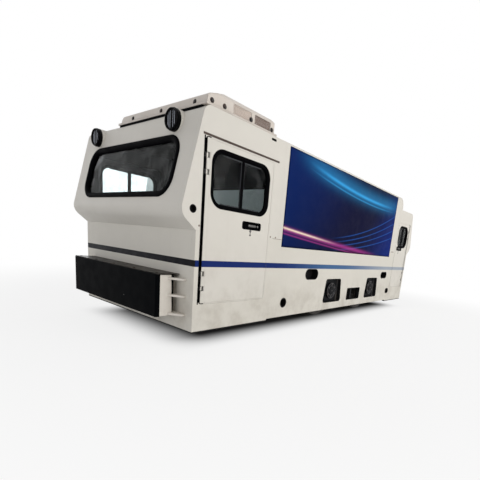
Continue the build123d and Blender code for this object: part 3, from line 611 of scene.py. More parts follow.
@dataclass(frozen=True)
class Sweep:
    """A curved streak of light on the banner.

    The bend is the start height, slope and curve of its middle line, and the span is where
    along the banner it begins and ends, both as shares of the banner.
    """

    hue: Rgba
    strength: float
    bend: Triple
    wide: float
    span: Spot

    def mask(self, g: Graph, u: Value, v: Value) -> NodeSocket:
        """Return the mask of the streak.

        Args:
            g: The graph to add to.
            u: Place along the banner, 0 to 1.
            v: Place up the banner, 0 to 1.

        Returns:
            The mask socket.
        """
        start, slope, curve = self.bend
        first, last = self.span
        middle = g.plus(g.mul(u, slope), start)
        middle = g.plus(middle, g.mul(g.mul(u, u), curve))
        off = g.calc("DIVIDE", g.minus(v, middle), self.wide)
        body = g.calc("POWER", 2.718, g.mul(g.mul(off, off), -1.0))
        rise = g.remap(u, first, first + 0.25)
        fall = g.remap(u, last, last - 0.3)
        return g.mul(body, g.mul(rise, fall))


GLOW = tone(60, 168, 236)
FINE_LINE = tone(40, 100, 196)
PINK = tone(176, 62, 148)
SWEEPS = (
    Sweep(GLOW, 0.34, (1.02, -0.55, 0.35), 0.11, (0.0, 1.15)),
    *(Sweep(FINE_LINE, 0.55, (start, -0.15, 0.42 + 2 * start), 0.007, (0.3, 1.2))
      for start in (0.02, 0.06, 0.10, 0.14)),
    Sweep(GLOW, 0.85, (1.00, -0.55, 0.35), 0.020, (0.1, 1.0)),
    Sweep(GLOW, 0.5, (0.94, -0.55, 0.35), 0.009, (0.1, 1.0)),
    Sweep(PINK, 0.7, (0.195, -0.30, 0.08), 0.026, (-0.25, 0.85)),
    Sweep(PINK, 0.55, (0.145, -0.30, 0.08), 0.008, (-0.25, 0.85)),
    Sweep(tone(248, 226, 204), 0.95, (0.203, -0.30, 0.08), 0.011, (-0.25, 0.42)))


@dataclass(frozen=True)
class Print(Finish):
    """Banner cloth printed with a plain design of light sweeps on blue."""

    near: Rgba = tone(8, 34, 92)
    middle: Rgba = tone(9, 11, 46)
    far: Rgba = tone(12, 36, 112)
    slant: float = -0.25
    near_fade: Spot = (-0.25, 0.42)
    far_fade: Spot = (0.55, 1.0)
    threads: float = 5200.0

    def paint(self, g: Graph) -> Value:
        """Return the printed ground, which goes from blue to dark and back, with its sweeps."""
        across, _deep, up = g.axes(g.place())
        u = g.calc("DIVIDE", g.minus(BANNER_FRONT, across), BANNER_LONG)
        v = g.calc("DIVIDE", g.minus(up, BANNER_LOW), BANNER_TALL)
        slant = g.plus(u, g.mul(v, self.slant))
        colour = g.blend(g.remap(slant, *self.near_fade), self.near, self.middle)
        colour = g.blend(g.remap(slant, *self.far_fade), colour, self.far)
        for sweep in SWEEPS:
            shown = g.mul(sweep.mask(g, u, v), sweep.strength)
            colour = g.blend(shown, colour, sweep.hue)
        return colour

    def relief(self, g: Graph, height: NodeSocket) -> Value:
        """Return the weave of the cloth over the height."""
        across, _deep, up = g.axes(g.place())
        warp = g.calc("SINE", g.mul(across, self.threads))
        weft = g.calc("SINE", g.mul(up, self.threads))
        return g.plus(g.mul(g.plus(warp, weft), 0.08), height)


def new_object(name: str, data: bpy.types.ID) -> Object:
    """Put a new object with this data into the scene."""
    made = bpy.data.objects.new(name, data)
    bpy.context.scene.collection.objects.link(made)
    return made


@dataclass(frozen=True)
class Face:
    """A flat place on the model: its middle and the unit vectors across and up it."""

    spot: Vector
    across: Vector
    up: Vector

    @property
    def out(self) -> Vector:
        """Return the unit vector that points out of the place."""
        return self.across.cross(self.up)

    def at(self, u: float, v: float, w: float = 0.0) -> Vector:
        """Return the point u across, v up and w out of the place."""
        return self.spot + self.across * u + self.up * v + self.out * w

    def moved(self, u: float, v: float) -> "Face":
        """Return the same place moved u across and v up."""
        return Face(self.at(u, v), self.across, self.up)


def side_face(side: Side, x: float, z: float, y: float = HALF_WIDTH) -> Face:
    """Return the place on a long side at a given X, Z and distance from the middle.

    Args:
        side: Which long side.
        x: X of the place.
        z: Z of the place.
        y: How far it stands from the middle.

    Returns:
        The place, looking outwards, with across pointing to its own right.
    """
    turn = side.value
    return Face(Vector((x, turn * y, z)), Vector((-turn, 0, 0)), Vector((0, 0, 1)))


def end_face(end: int, x: float, y: float, z: float) -> Face:
    """Return a place that looks out over an end: 1 for the front and -1 for the rear."""
    return Face(Vector((x, y, z)), Vector((0, end, 0)), Vector((0, 0, 1)))


def level_face(x: float, y: float, z: float) -> Face:
    """Return a place that looks straight up."""
    return Face(Vector((x, y, z)), Vector((1, 0, 0)), Vector((0, 1, 0)))


def rounded(wide: float, tall: float, radius: float, steps: int = 8) -> list[Spot]:
    """Return the points of a rounded rectangle round its middle.

    Args:
        wide: Whole width.
        tall: Whole height.
        radius: Corner radius.
        steps: Steps in each corner.

    Returns:
        Points in turn, anticlockwise.
    """
    radius = max(0.0002, min(radius, wide / 2 - 0.0001, tall / 2 - 0.0001))
    spots = []
    for corner, (sx, sy) in enumerate(((1, 1), (-1, 1), (-1, -1), (1, -1))):
        cx, cy = sx * (wide / 2 - radius), sy * (tall / 2 - radius)
        for step in range(steps + 1):
            turn = math.pi / 2 * (corner + step / steps)
            spots.append((cx + radius * math.cos(turn), cy + radius * math.sin(turn)))
    return spots


def circle(radius: float, sides: int) -> list[Spot]:
    """Return the points of a circle round its middle."""
    turns = [2 * math.pi * i / sides for i in range(sides)]
    return [(radius * math.cos(t), radius * math.sin(t)) for t in turns]


class Shape:
    """Faces gathered for one piece, in model coordinates."""

    def __init__(self) -> None:
        """Start with no faces."""
        self.bm = bmesh.new()

    def loft(self, rings: list[list[Vector]], wrap: bool = False, cap: bool = True) -> None:
        """Skin rings that have the same number of points.

        Args:
            rings: Closed rings of points, in turn.
            wrap: Join the last ring to the first.
            cap: Close the first and last ring where they aren't joined.
        """
        rows = [[self.bm.verts.new(p) for p in ring] for ring in rings]
        count = len(rows[0])
        pairs = list(zip(rows, rows[1:])) + ([(rows[-1], rows[0])] if wrap else [])
        for low, high in pairs:
            for i in range(count):
                j = (i + 1) % count
                self.bm.faces.new((low[i], low[j], high[j], high[i]))
        if cap and not wrap:
            self.bm.faces.new(list(reversed(rows[0])))
            self.bm.faces.new(rows[-1])

    def frame(self, face: Face, wide: float, tall: float, radius: float,
              section: Iterable[Spot], steps: int = 8) -> None:
        """Sweep a closed section round a rounded rectangle.

        Args:
            face: Where the rectangle's middle is.
            wide: Width of the rectangle.
            tall: Height of the rectangle.
            radius: Corner radius.
            section: Points of outset from the rectangle and height out of the face.
            steps: Steps in each corner.
        """
        rings = [[face.at(u, v, high) for u, v in
                  rounded(wide + 2 * out, tall + 2 * out, radius + out, steps)]
                 for out, high in section]
        self.loft(rings, wrap=True)

    def pad(self, face: Face, wide: float, tall: float, radius: float,
            levels: Iterable[Spot], steps: int = 5) -> None:
        """Stack a rounded rectangle at several levels, as a pressed or cast pad.

        Args:
            face: Where the rectangle's middle is.
            wide: Width of the rectangle.
            tall: Height of the rectangle.
            radius: Corner radius.
            levels: Outset and height of each level, from the back to the front.
            steps: Steps in each corner.
        """
        self.loft([[face.at(u, v, high) for u, v in
                    rounded(wide + 2 * out, tall + 2 * out, max(radius + out, 0.0005), steps)]
                   for out, high in levels])

    def turned(self, face: Face, profile: Iterable[Spot], sides: int = 32,
               ring: bool = False) -> None:
        """Turn a profile of radius and height round a place, into a solid or a hollow ring."""
        self.loft([[face.at(u, v, high) for u, v in circle(radius, sides)]
                   for radius, high in profile], wrap=ring)

    def bar(self, face: Face, wide: float, tall: float, low: float, high: float,
            edge: float = 0.001) -> None:
        """Add a block with small chamfers, from low to high out of a place."""
        outline = [(-wide / 2, -tall / 2), (wide / 2, -tall / 2),
                   (wide / 2, tall / 2), (-wide / 2, tall / 2)]
        edge = min(edge, wide / 3, tall / 3, abs(high - low) / 3)
        rings = []
        for out, level in ((-edge, low), (0, low + edge), (0, high - edge), (-edge, high)):
            rings.append([face.at(u + math.copysign(out, u), v + math.copysign(out, v), level)
                          for u, v in outline])
        self.loft(rings)

    def prism(self, face: Face, outline: list[Spot], low: float, high: float) -> None:
        """Raise any outline from low to high out of a place."""
        self.loft([[face.at(u, v, level) for u, v in outline] for level in (low, high)])

    def tube(self, path: list[Vector], radius: float, sides: int = 10) -> None:
        """Follow a bent path with a round section."""
        rings = []
        normal = None
        for i, spot in enumerate(path):
            ahead = (path[min(i + 1, len(path) - 1)] - path[max(i - 1, 0)]).normalized()
            if normal is None:
                normal = ahead.orthogonal().normalized()
            normal = (normal - ahead * normal.dot(ahead)).normalized()
            side = ahead.cross(normal)
            rings.append([spot + (normal * u + side * v) for u, v in circle(radius, sides)])
        self.loft(rings)

    def take(self, mesh: Mesh) -> None:
        """Add the faces of a mesh, then drop it."""
        self.bm.from_mesh(mesh)
        bpy.data.meshes.remove(mesh)

    def finish(self, name: str, finish: Finish, body: str = "locomotive", bend: float = 35.0,
               bevel: float = 0.0) -> Object:
        """Close the shape and make its object.

        Args:
            name: Name of the piece.
            finish: Its material.
            body: The CAD body that it rides.
            bend: Edges flatter than this many degrees are shaded smooth.
            bevel: Width of a bevel on its sharper edges, or 0 for none.

        Returns:
            The object, riding its body.
        """
        bmesh.ops.remove_doubles(self.bm, verts=self.bm.verts, dist=1e-6)
        bmesh.ops.recalc_face_normals(self.bm, faces=self.bm.faces)
        mesh = bpy.data.meshes.new(name)
        self.bm.to_mesh(mesh)
        self.bm.free()
        mesh.polygons.foreach_set("use_smooth", [True] * len(mesh.polygons))
        mesh.set_sharp_from_angle(angle=math.radians(bend))
        mesh.materials.clear()
        mesh.materials.append(finish.material())
        piece = new_object(name, mesh)
        if bevel:
            round_off = piece.modifiers.new("Rounded edges", "BEVEL")
            round_off.width, round_off.segments = bevel, 2
            round_off.limit_method, round_off.angle_limit = "ANGLE", math.radians(30)
        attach(piece, body)
        log.info("%s: %d faces, rides %s", name, len(mesh.polygons), body)
        return piece


@dataclass(frozen=True)
class Repeater:
    """A Geometry Nodes tree that repeats one small shape, which draw makes."""

    name: str
    inputs: dict[str, Value | int]
    draw: Callable[[Graph, dict], NodeSocket]

    def tree(self) -> NodeTree:
        """Return the tree, built on first use."""
        ready = bpy.data.node_groups.get(self.name)
        if not ready:
            graph, given, wanted = new_group(
                self.name, "GeometryNodeTree",
                {"Geometry": "Geometry", **self.inputs, "Finish": "Material"},
                {"Geometry": "Geometry"})
            real = graph.call("GeometryNodeRealizeInstances", feeds={0: self.draw(graph, given)})
            done = graph.call("GeometryNodeSetMaterial", feeds={
                "Geometry": real, "Material": given["Finish"]})
            graph.feed(wanted["Geometry"], done)
            ready = graph.tree
        return ready

    def run(self, start: Mesh, finish: Finish, **values: object) -> Mesh:
        """Evaluate the tree on a starting mesh.

        Args:
            start: The points or lines that the shape is repeated on.
            finish: Material of the result.
            values: Inputs by name with _ for a space.

        Returns:
            The result as a plain mesh.
        """
        tree = self.tree()
        holder = new_object(self.name, start)
        change = holder.modifiers.new(self.name, "NODES")
        change.node_group = tree
        wanted = {key.replace("_", " "): value for key, value in values.items()}
        wanted["Finish"] = finish.material()
        for item in tree.interface.items_tree:
            if item.in_out == "INPUT" and item.name in wanted:
                change[item.identifier] = wanted[item.name]
        ready = holder.evaluated_get(bpy.context.evaluated_depsgraph_get())
        result = bpy.data.meshes.new_from_object(ready)
        bpy.data.objects.remove(holder)
        bpy.data.meshes.remove(start)
        return result


def euler(g: Graph, turn: Value) -> NodeSocket:
    """Return a rotation from three angles."""
    return g.call("FunctionNodeEulerToRotation", feeds={0: turn})


def joined(g: Graph, *parts: NodeSocket) -> NodeSocket:
    """Return several geometries as one."""
    node = g.add("GeometryNodeJoinGeometry")
    for part in parts:
        g.tree.links.new(part, node.inputs[0])
    return node.outputs[0]


def cylinder(g: Graph, sides: Value, radius: Value, deep: Value) -> NodeSocket:
    """Return a capped cylinder round the origin."""
    return g.call("GeometryNodeMeshCylinder", fill_type="NGON", feeds={
        "Vertices": sides, "Radius": radius, "Depth": deep})


def placed(g: Graph, part: NodeSocket, **feeds: Value) -> NodeSocket:
    """Return a geometry moved, turned or scaled."""
    return g.call("GeometryNodeTransform", feeds={"Geometry": part, **feeds})


def draw_fasteners(g: Graph, given: dict) -> NodeSocket:
    """Put a bolt head with a washer on each point, turned by its seed."""
    radius, high, sides = given["Head Radius"], given["Head Height"], given["Sides"]
    lift = g.vector(z=g.mul(high, 0.5))
    shank = placed(g, cylinder(g, sides, radius, high), Translation=lift)
    crown = g.call("GeometryNodeMeshCone", fill_type="NGON", feeds={
        "Vertices": sides, "Radius Top": g.mul(radius, 0.72), "Radius Bottom": radius,
        "Depth": g.mul(high, 0.35)})
    crown = placed(g, crown, Translation=g.vector(z=high))
    plate = cylinder(g, 12, g.mul(radius, 1.4), g.mul(high, 0.5))
    turn = g.call("FunctionNodeRandomValue", 1, {2: 0.0, 3: 3.14, "Seed": given["Seed"]},
                  data_type="FLOAT")
    twist = euler(g, g.vector(z=turn))
    out = g.call("GeometryNodeInputNamedAttribute", feeds={"Name": "out"},
                 data_type="FLOAT_VECTOR")
    aim = g.call("FunctionNodeAlignRotationToVector", feeds={"Rotation": twist, "Vector": out},
                 axis="Z")
    return g.call("GeometryNodeInstanceOnPoints", feeds={
        "Points": given["Geometry"], "Instance": joined(g, shank, crown, plate),
        "Rotation": aim})


def draw_slats(g: Graph, given: dict) -> NodeSocket:
    """Repeat a rounded slat along a line."""
    slat = placed(g, cylinder(g, given["Sides"], 0.5, 1.0), Scale=given["Size"],
                  Rotation=euler(g, given["Turn"]))
    line = g.call("GeometryNodeMeshLine", feeds={
        "Count": given["Count"], "Start Location": given["Start"], "Offset": given["Step"]},
        mode="OFFSET")
    return g.call("GeometryNodeInstanceOnPoints", feeds={"Points": line, "Instance": slat})


def draw_stitches(g: Graph, given: dict) -> NodeSocket:
    """Lay short threads end to end along the lines of the starting mesh."""
    curve = g.call("GeometryNodeMeshToCurve", feeds={"Mesh": given["Geometry"]})
    even = g.call("GeometryNodeResampleCurve", feeds={
        "Curve": curve, "Length": given["Spacing"]}, mode="LENGTH")
    thread = g.call("GeometryNodeMeshUVSphere", feeds={"Segments": 6, "Rings": 4, "Radius": 1.0})
    size = g.vector(given["Length"], given["Thickness"], given["Thickness"])
    thread = placed(g, thread, Scale=size)
    tangent = g.add("GeometryNodeInputTangent").outputs[0]
    aim = g.call("FunctionNodeAlignRotationToVector", feeds={"Vector": tangent}, axis="X")
    return g.call("GeometryNodeInstanceOnPoints", feeds={
        "Points": even, "Instance": thread, "Rotation": aim})


FASTENERS = Repeater("Fasteners", {
    "Head Radius": 0.006, "Head Height": 0.004, "Sides": 6, "Seed": 3}, draw_fasteners)
SLATS = Repeater("Slats", {
    "Count": 5, "Start": (0.0, 0.0, 0.0), "Step": (0.0, 0.0, 0.01), "Size": (0.01, 0.01, 0.1),
    "Turn": (0.0, 0.0, 0.0), "Sides": 10}, draw_slats)
STITCHES = Repeater("Stitches", {
    "Spacing": 0.006, "Length": 0.002, "Thickness": 0.0006}, draw_stitches)


def bolt_heads(name: str, spots: list[tuple[Vector, Vector]], finish: Finish, radius: float,
               high: float) -> None:
    """Make one piece of bolt heads on the locomotive's body.

    Args:
        name: Name of the piece.
        spots: Each head's point and the direction it looks.
        finish: Material of the heads.
        radius: Radius of a head.
        high: Height of a head.
    """
    start = bpy.data.meshes.new("points")
    start.from_pydata([tuple(p) for p, _ in spots], [], [])
    out = start.attributes.new("out", "FLOAT_VECTOR", "POINT")
    out.data.foreach_set("vector", [x for _, o in spots for x in o])
    heads = Shape()
    heads.take(FASTENERS.run(start, finish, Head_Radius=radius, Head_Height=high, Sides=6, Seed=3))
    heads.finish(name, finish, bend=30)


def slats(finish: Finish, count: int, start: Vector, step: Vector, size: Iterable[float],
          turn: Iterable[float] = (0.0, 0.0, 0.0), sides: int = 10) -> Mesh:
    """Return a row of rounded slats, each size across, deep and long before its turn."""
    return SLATS.run(bpy.data.meshes.new("points"), finish, Count=count, Start=tuple(start),
                     Step=tuple(step), Size=tuple(size), Turn=tuple(turn), Sides=sides)


def stitched(lines: list[list[Vector]], finish: Finish, spacing: float = 0.007,
             length: float = 0.0023, thick: float = 0.0007) -> Mesh:
    """Return threads along lines of points."""
    spots, edges = [], []
    for line in lines:
        first = len(spots)
        spots += [tuple(p) for p in line]
        edges += [(first + i, first + i + 1) for i in range(len(line) - 1)]
    start = bpy.data.meshes.new("lines")
    start.from_pydata(spots, edges, [])
    return STITCHES.run(start, finish, Spacing=spacing, Length=length, Thickness=thick)


CREAM = tone(219, 215, 207)
DUST = tone(150, 139, 124)
WORN_CREAM = tone(182, 174, 162)
# The dark inner colours of the shells, this one and those given to each finish below, are painted
# shade.
DOOR_SHADE_LINING = tone(66, 67, 69)
# X limits of the hinge gap that is painted dark as painted shade.
HINGE_GAP = (1.6515, 1.684)
FRONT_CAB_PAINT = Paint(
    "front cab paint", Slot.CREAM, CREAM, 0.45, gloss=0.10, edge=0.003, edge_tone=WORN_CREAM,
    edge_amount=0.5, stripe=True, swell=0.5, dust=DUST, lining=tone(18, 18, 20),
    lining_centre=(1.33, 0.0, 0.80), jamb=HINGE_GAP)
REAR_CAB_PAINT = replace(
    FRONT_CAB_PAINT, name="rear cab paint", lining_centre=(-1.48, 0.0, 0.75), jamb_top=1.073)
FRONT_DOOR_PAINT = replace(FRONT_CAB_PAINT, name="front door paint", lining=DOOR_SHADE_LINING)
REAR_DOOR_PAINT = replace(REAR_CAB_PAINT, name="rear door paint", lining=DOOR_SHADE_LINING)
HOOD_PAINT = replace(
    FRONT_CAB_PAINT, name="hood paint", stripe=False, jamb=None, swell=0.6,
    lining=tone(60, 60, 62), lining_centre=(-0.12, 0.0, 0.85))
# The frame's inner faces and its cut edges within core are painted dark as painted shade.
FRAME_PAINT = Paint(
    "frame paint", Slot.CREAM, tone(217, 213, 204), 0.48, gloss=0.10, edge=0.003,
    edge_tone=tone(168, 156, 140), edge_amount=0.7, stripe=True, swell=0.3, dust=DUST,
    dust_amount=0.38, dust_high=0.5, lining=tone(30, 30, 31), lining_centre=(0.0, 0.0, 0.35),
    jamb=HINGE_GAP, lip=0.107, core=0.6735)
# The pale edge tone here is a painted highlight along the cooler's rounded edges.
COOLER_PAINT = Paint(
    "cooler shell paint", Slot.CREAM, tone(210, 201, 192), 0.42, grain=650.0, edge=0.012,
    edge_tone=tone(232, 224, 216), edge_amount=0.3, dust=DUST, dust_low=1.33, dust_high=1.5,
    dust_amount=0.25)
# Painted paler than the shell as painted light, so that the louvre in its shaded recess looks as pale
# as the shell.
LOUVRE_LIGHTENED = Finish(
    "cooler louvre plastic", Slot.CREAM, tone(250, 236, 226), 0.5, grain=700.0, gloss=0.2)
# Dark above the split as painted shade of the cab's inside, pale below it.
BULKHEAD_SHADE_PAINT = PanelPaint(
    "bulkhead paint", Slot.CREAM, tone(34, 34, 37), 0.5, gloss=0.1, dust_amount=0.1, bump=0.1)
BUMPER_PAINT = Paint(
    "bumper box paint", Slot.CREAM, tone(224, 218, 209), 0.4, gloss=0.25,
    edge_tone=tone(120, 100, 84), edge_amount=0.7, dust=DUST, dust_amount=0.2)
BUMPER_BLACK = Paint(
    "bumper black paint", Slot.BLACK, tone(6, 7, 9), 0.5, gloss=0.01, edge_tone=tone(86, 82, 78),
    edge_amount=0.6, dust=tone(30, 29, 27), dust_amount=0.12, dust_low=0.15, dust_high=0.5,
    swell=0.3, chips=0.8)
BUMPER_TOP = Paint(
    "bumper top paint", Slot.BLACK, tone(24, 22, 20), 0.4, gloss=0.12, edge_tone=tone(96, 88, 80),
    edge_amount=0.8, dust=tone(62, 52, 44), dust_amount=0.8, dust_low=0.2, dust_high=0.9)
GUTTER_BROWN = Paint(
    "gutter paint", Slot.BLACK, tone(84, 72, 66), 0.5, gloss=0.1, dust_amount=0.2,
    edge_tone=tone(30, 27, 26), edge_amount=0.6)
CHASSIS_PAINT = Paint(
    "chassis grey paint", Slot.CHASSIS, tone(34, 34, 36), 0.55, gloss=0.15, dust=tone(74, 68, 61),
    dust_amount=0.5, edge_tone=tone(70, 65, 60), edge_amount=0.5)
WINDOW_RUBBER = Finish(
    "window rubber", Slot.RUBBER, tone(6, 6, 8), 0.55, gloss=0.01, bump=0.2, grain=900.0,
    shift=0.12, edge=0.001)
PALE_RUBBER = Finish(
    "pale door seal", Slot.RUBBER, tone(176, 170, 160), 0.6, gloss=0.05, grain=900.0, bump=0.2,
    shift=0.1, edge=0.001)
SPRING_RUBBER = Finish(
    "spring rubber", Slot.RUBBER, tone(33, 32, 32), 0.7, grain=500.0, bump=0.4, shift=0.2)
AXLE_STEEL = Iron("axle steel", Slot.STEEL, tone(150, 148, 145), 0.38, 1.0, rust_amount=0.25)
WHEEL_IRON = Iron(
    "wheel iron", Slot.IRON, tone(64, 61, 59), 0.55, 0.5, gloss=0.3, bump=0.5, grain=220.0,
    rust=tone(84, 62, 50), rust_amount=0.35)
CAST_IRON = Iron(
    "cast iron", Slot.IRON, tone(15, 16, 19), 0.5, 0.1, gloss=0.06, bump=0.4, grain=260.0,
    rust=tone(34, 30, 28), rust_amount=0.3)
HANDLE_STEEL = Iron(
    "handle steel", Slot.STEEL, tone(96, 94, 93), 0.3, 1.0, bump=0.0, rust_amount=0.0, edge=0.001,
    edge_tone=tone(200, 198, 195), edge_amount=0.4)
ALUMINIUM = Iron(
    "window aluminium", Slot.STEEL, tone(58, 60, 63), 0.35, 0.6, bump=0.05, gloss=0.15,
    rust_amount=0.0, edge=0.0006)
BOLT_BROWN = Iron("painted bolts", Slot.STEEL, tone(134, 118, 104), 0.55, 0.2, edge=0.0006)
CAST_BRIGHT = Iron(
    "rubbed iron", Slot.IRON, tone(84, 83, 84), 0.45, 0.8, gloss=0.2, rust_amount=0.25, edge=0.001)
BUSH_STEEL = Iron(
    "lifting bush steel", Slot.IRON, tone(20, 20, 21), 0.5, 0.2, gloss=0.1,
    edge_tone=tone(70, 68, 66), edge_amount=0.6, rust=tone(36, 30, 27))
BOLT_BLACK = Iron("blackened bolts", Slot.STEEL, tone(44, 43, 43), 0.45, 0.7, edge=0.0006)
GLASS = Glazing(
    "window glass", Slot.GLASS, tone(214, 222, 222), 0.02, edge_tone=tone(196, 205, 206),
    bump=0.02, depth=0.001, coat_rough=0.2)
LAMP_SHELL = LampPaint(
    "lamp shell", Slot.LAMP, CREAM, 0.3, gloss=0.06, dust_amount=0.1, bump=0.05,
    dark=tone(7, 7, 8))
LAMP_RIM = Finish("lamp rim", Slot.LAMP, tone(10, 10, 12), 0.25, gloss=0.06, bump=0.05)
# The near-white edge tone on the light bars is a painted glint.
LAMP_BAR = Finish(
    "lamp light bars", Slot.LAMP, tone(138, 142, 150), 0.1, 0.8, edge=0.0008,
    edge_tone=tone(235, 238, 242), edge_amount=0.8)
GRILLE_RED = Finish("grille mesh", Slot.BLACK, tone(150, 116, 104), 0.5, 0.2, shift=0.2)
GRILLE_DARK = Finish("grille back", Slot.BLACK, tone(56, 44, 40), 0.7, shift=0.2)
BANNER_PRINT = Print(
    "banner print", Slot.CLOTH, rough=0.55, gloss=0.03, swell=0.9, grain=900.0, bump=0.12,
    shift=0.05)
SEAT_HIDE = Hide(
    "seat leather", Slot.LEATHER, tone(40, 40, 43), 0.46, grain=330.0, bump=0.35, shift=0.15,
    coat=0.1, edge=0.001)
SEAT_WELT = Hide("seat welt leather", Slot.LEATHER, tone(30, 30, 32), 0.5, grain=420.0, bump=0.3)
THREAD = Finish("seat thread", Slot.LEATHER, tone(92, 90, 86), 0.8, grain=1500.0)
DESK_PLASTIC = Finish("desk plastic", Slot.DESK, tone(92, 96, 100), 0.5, grain=800.0, bump=0.3)
INSTRUMENT_BLACK = Finish(
    "instrument plastic", Slot.DESK, tone(26, 27, 29), 0.4, gloss=0.3, grain=900.0, bump=0.15,
    edge=0.0008, edge_tone=tone(120, 120, 120))
DIAL_WHITE = Finish("dial enamel", Slot.DESK, tone(224, 224, 218), 0.3, gloss=0.4, bump=0.03)
STOP_RED = Finish("stop button plastic", Slot.DESK, tone(176, 30, 26), 0.3, gloss=0.4, bump=0.05)
BATTERY_CASE = Finish("battery case", Slot.BATTERY, tone(54, 58, 62), 0.55, grain=500.0, bump=0.3)

NODE_FINISHES: dict[Finish, tuple[str, ...]] = {
    FRONT_CAB_PAINT: ("cab_sheet_front", "cab_side_front_left", "cab_side_front_right"),
    FRONT_DOOR_PAINT: ("door_front_left", "door_front_right"),
    BULKHEAD_SHADE_PAINT: ("cab_bulkhead_front",),
    REAR_CAB_PAINT: ("cab_sheet_rear", "cab_side_rear_left", "cab_side_rear_right",
                     "cab_bulkhead_rear"),
    REAR_DOOR_PAINT: ("door_rear_left", "door_rear_right"),
    HOOD_PAINT: ("hood_roof", "hood_side_left", "hood_side_right"),
    FRAME_PAINT: ("frame_side_left", "frame_side_right", "frame_end_front", "frame_end_rear"),
    COOLER_PAINT: ("air_conditioner_cover", "air_conditioner_base"),
    BUMPER_PAINT: ("bumper_front", "bumper_rear"),
    BUMPER_BLACK: ("bumper_plate_front", "bumper_plate_rear"),
    CHASSIS_PAINT: ("cross_members", "floor_plates", "horn_guides", "brake_gear"),
    CAST_IRON: ("axle_boxes", "traction_motor_front", "traction_motor_rear"),
    SPRING_RUBBER: ("springs",),
    AXLE_STEEL: ("axle_front", "axle_rear"),
    WHEEL_IRON: ("wheels_front", "wheels_rear"),
    GLASS: ("windscreens", "door_glass_front_left", "door_glass_front_right",
            "door_glass_rear_left", "door_glass_rear_right"),
    LAMP_SHELL: ("headlamps",),
    BANNER_PRINT: ("banners",),
    SEAT_HIDE: ("seats",),
    DESK_PLASTIC: ("desks",),
    BATTERY_CASE: ("battery_block",),
}


def dress_nodes(nodes: dict[str, Object]) -> None:
    """Give the CAD nodes, which come by name, their finishes."""
    for finish, names in NODE_FINISHES.items():
        for name in names:
            slots = nodes[name].material_slots
            for slot in slots:
                slot.material = finish.material()
            if not slots:
                nodes[name].data.materials.append(finish.material())
            log.info("%s dressed in %s", name, finish.name)


@dataclass(frozen=True)
class CabPlan:
    """Where one cab's parts stand; end is 1 at the front and -1 at the rear.

    The leaf is its two limits in X and in Z. The window is its middle in X and Z, its width
    and its height. The screen is its middle height on the leaning panel and its own height.
    Roof, crown and chin are the ends of that panel.
    """

    key: str
    end: int
    roof: float
    crown: float
    inner: float
    leaf: Quad
    window: Quad
    screen: Spot
    handle: float
    lamp: Spot
    chin: Spot = (1.830, 0.772)

    @property
    def hinge(self) -> float:
        """Return X of the edge of the door leaf that carries the hinges."""
        return self.leaf[1] if self.end > 0 else self.leaf[0]

    @property
    def screen_face(self) -> Face:
        """Return the windscreen's place on the leaning panel."""
        rise = self.roof - self.chin[1]
        foot = self.end * self.chin[0]
        up = Vector((self.crown - foot, 0.0, rise)).normalized()
        x = foot + (self.crown - foot) * (self.screen[0] - self.chin[1]) / rise
        return Face(Vector((x, 0, self.screen[0])), Vector((0, self.end, 0)), up)


FRONT_CAB = CabPlan(
    "front", 1, roof=1.335, crown=1.695, inner=1.005, leaf=(1.115, 1.653, 0.276, 1.178),
    window=(1.390, 0.984, 0.464, 0.292), screen=(1.025, 0.314), handle=1.285, lamp=(1.7468, 1.269))
REAR_CAB = CabPlan(
    "rear", -1, roof=1.210, crown=-1.725, inner=-1.255, leaf=(-1.653, -1.295, 0.276, 1.064),
    window=(-1.480, 0.899, 0.284, 0.234), screen=(0.960, 0.240), handle=-1.410,
    lamp=(-1.7768, 1.144))


@dataclass
class Windscreen:
    """Rubber frame of one cab's windscreen."""

    plan: CabPlan
    wide: float = 1.040
    corner: float = 0.095
    section: Section = (
        (0.020, 0.0002), (0.0195, 0.0050), (0.015, 0.0080), (0.002, 0.0088), (-0.008, 0.0060),
        (-0.015, -0.0020), (-0.017, -0.0097), (-0.001, -0.0097), (-0.001, 0.0002))

    def build(self) -> None:
        """Make the frame."""
        shape = Shape()
        shape.frame(self.plan.screen_face, self.wide, self.plan.screen[1], self.corner,
                    self.section, steps=12)
        shape.finish(f"windscreen_rubber_{self.plan.key}", WINDOW_RUBBER, bend=50)


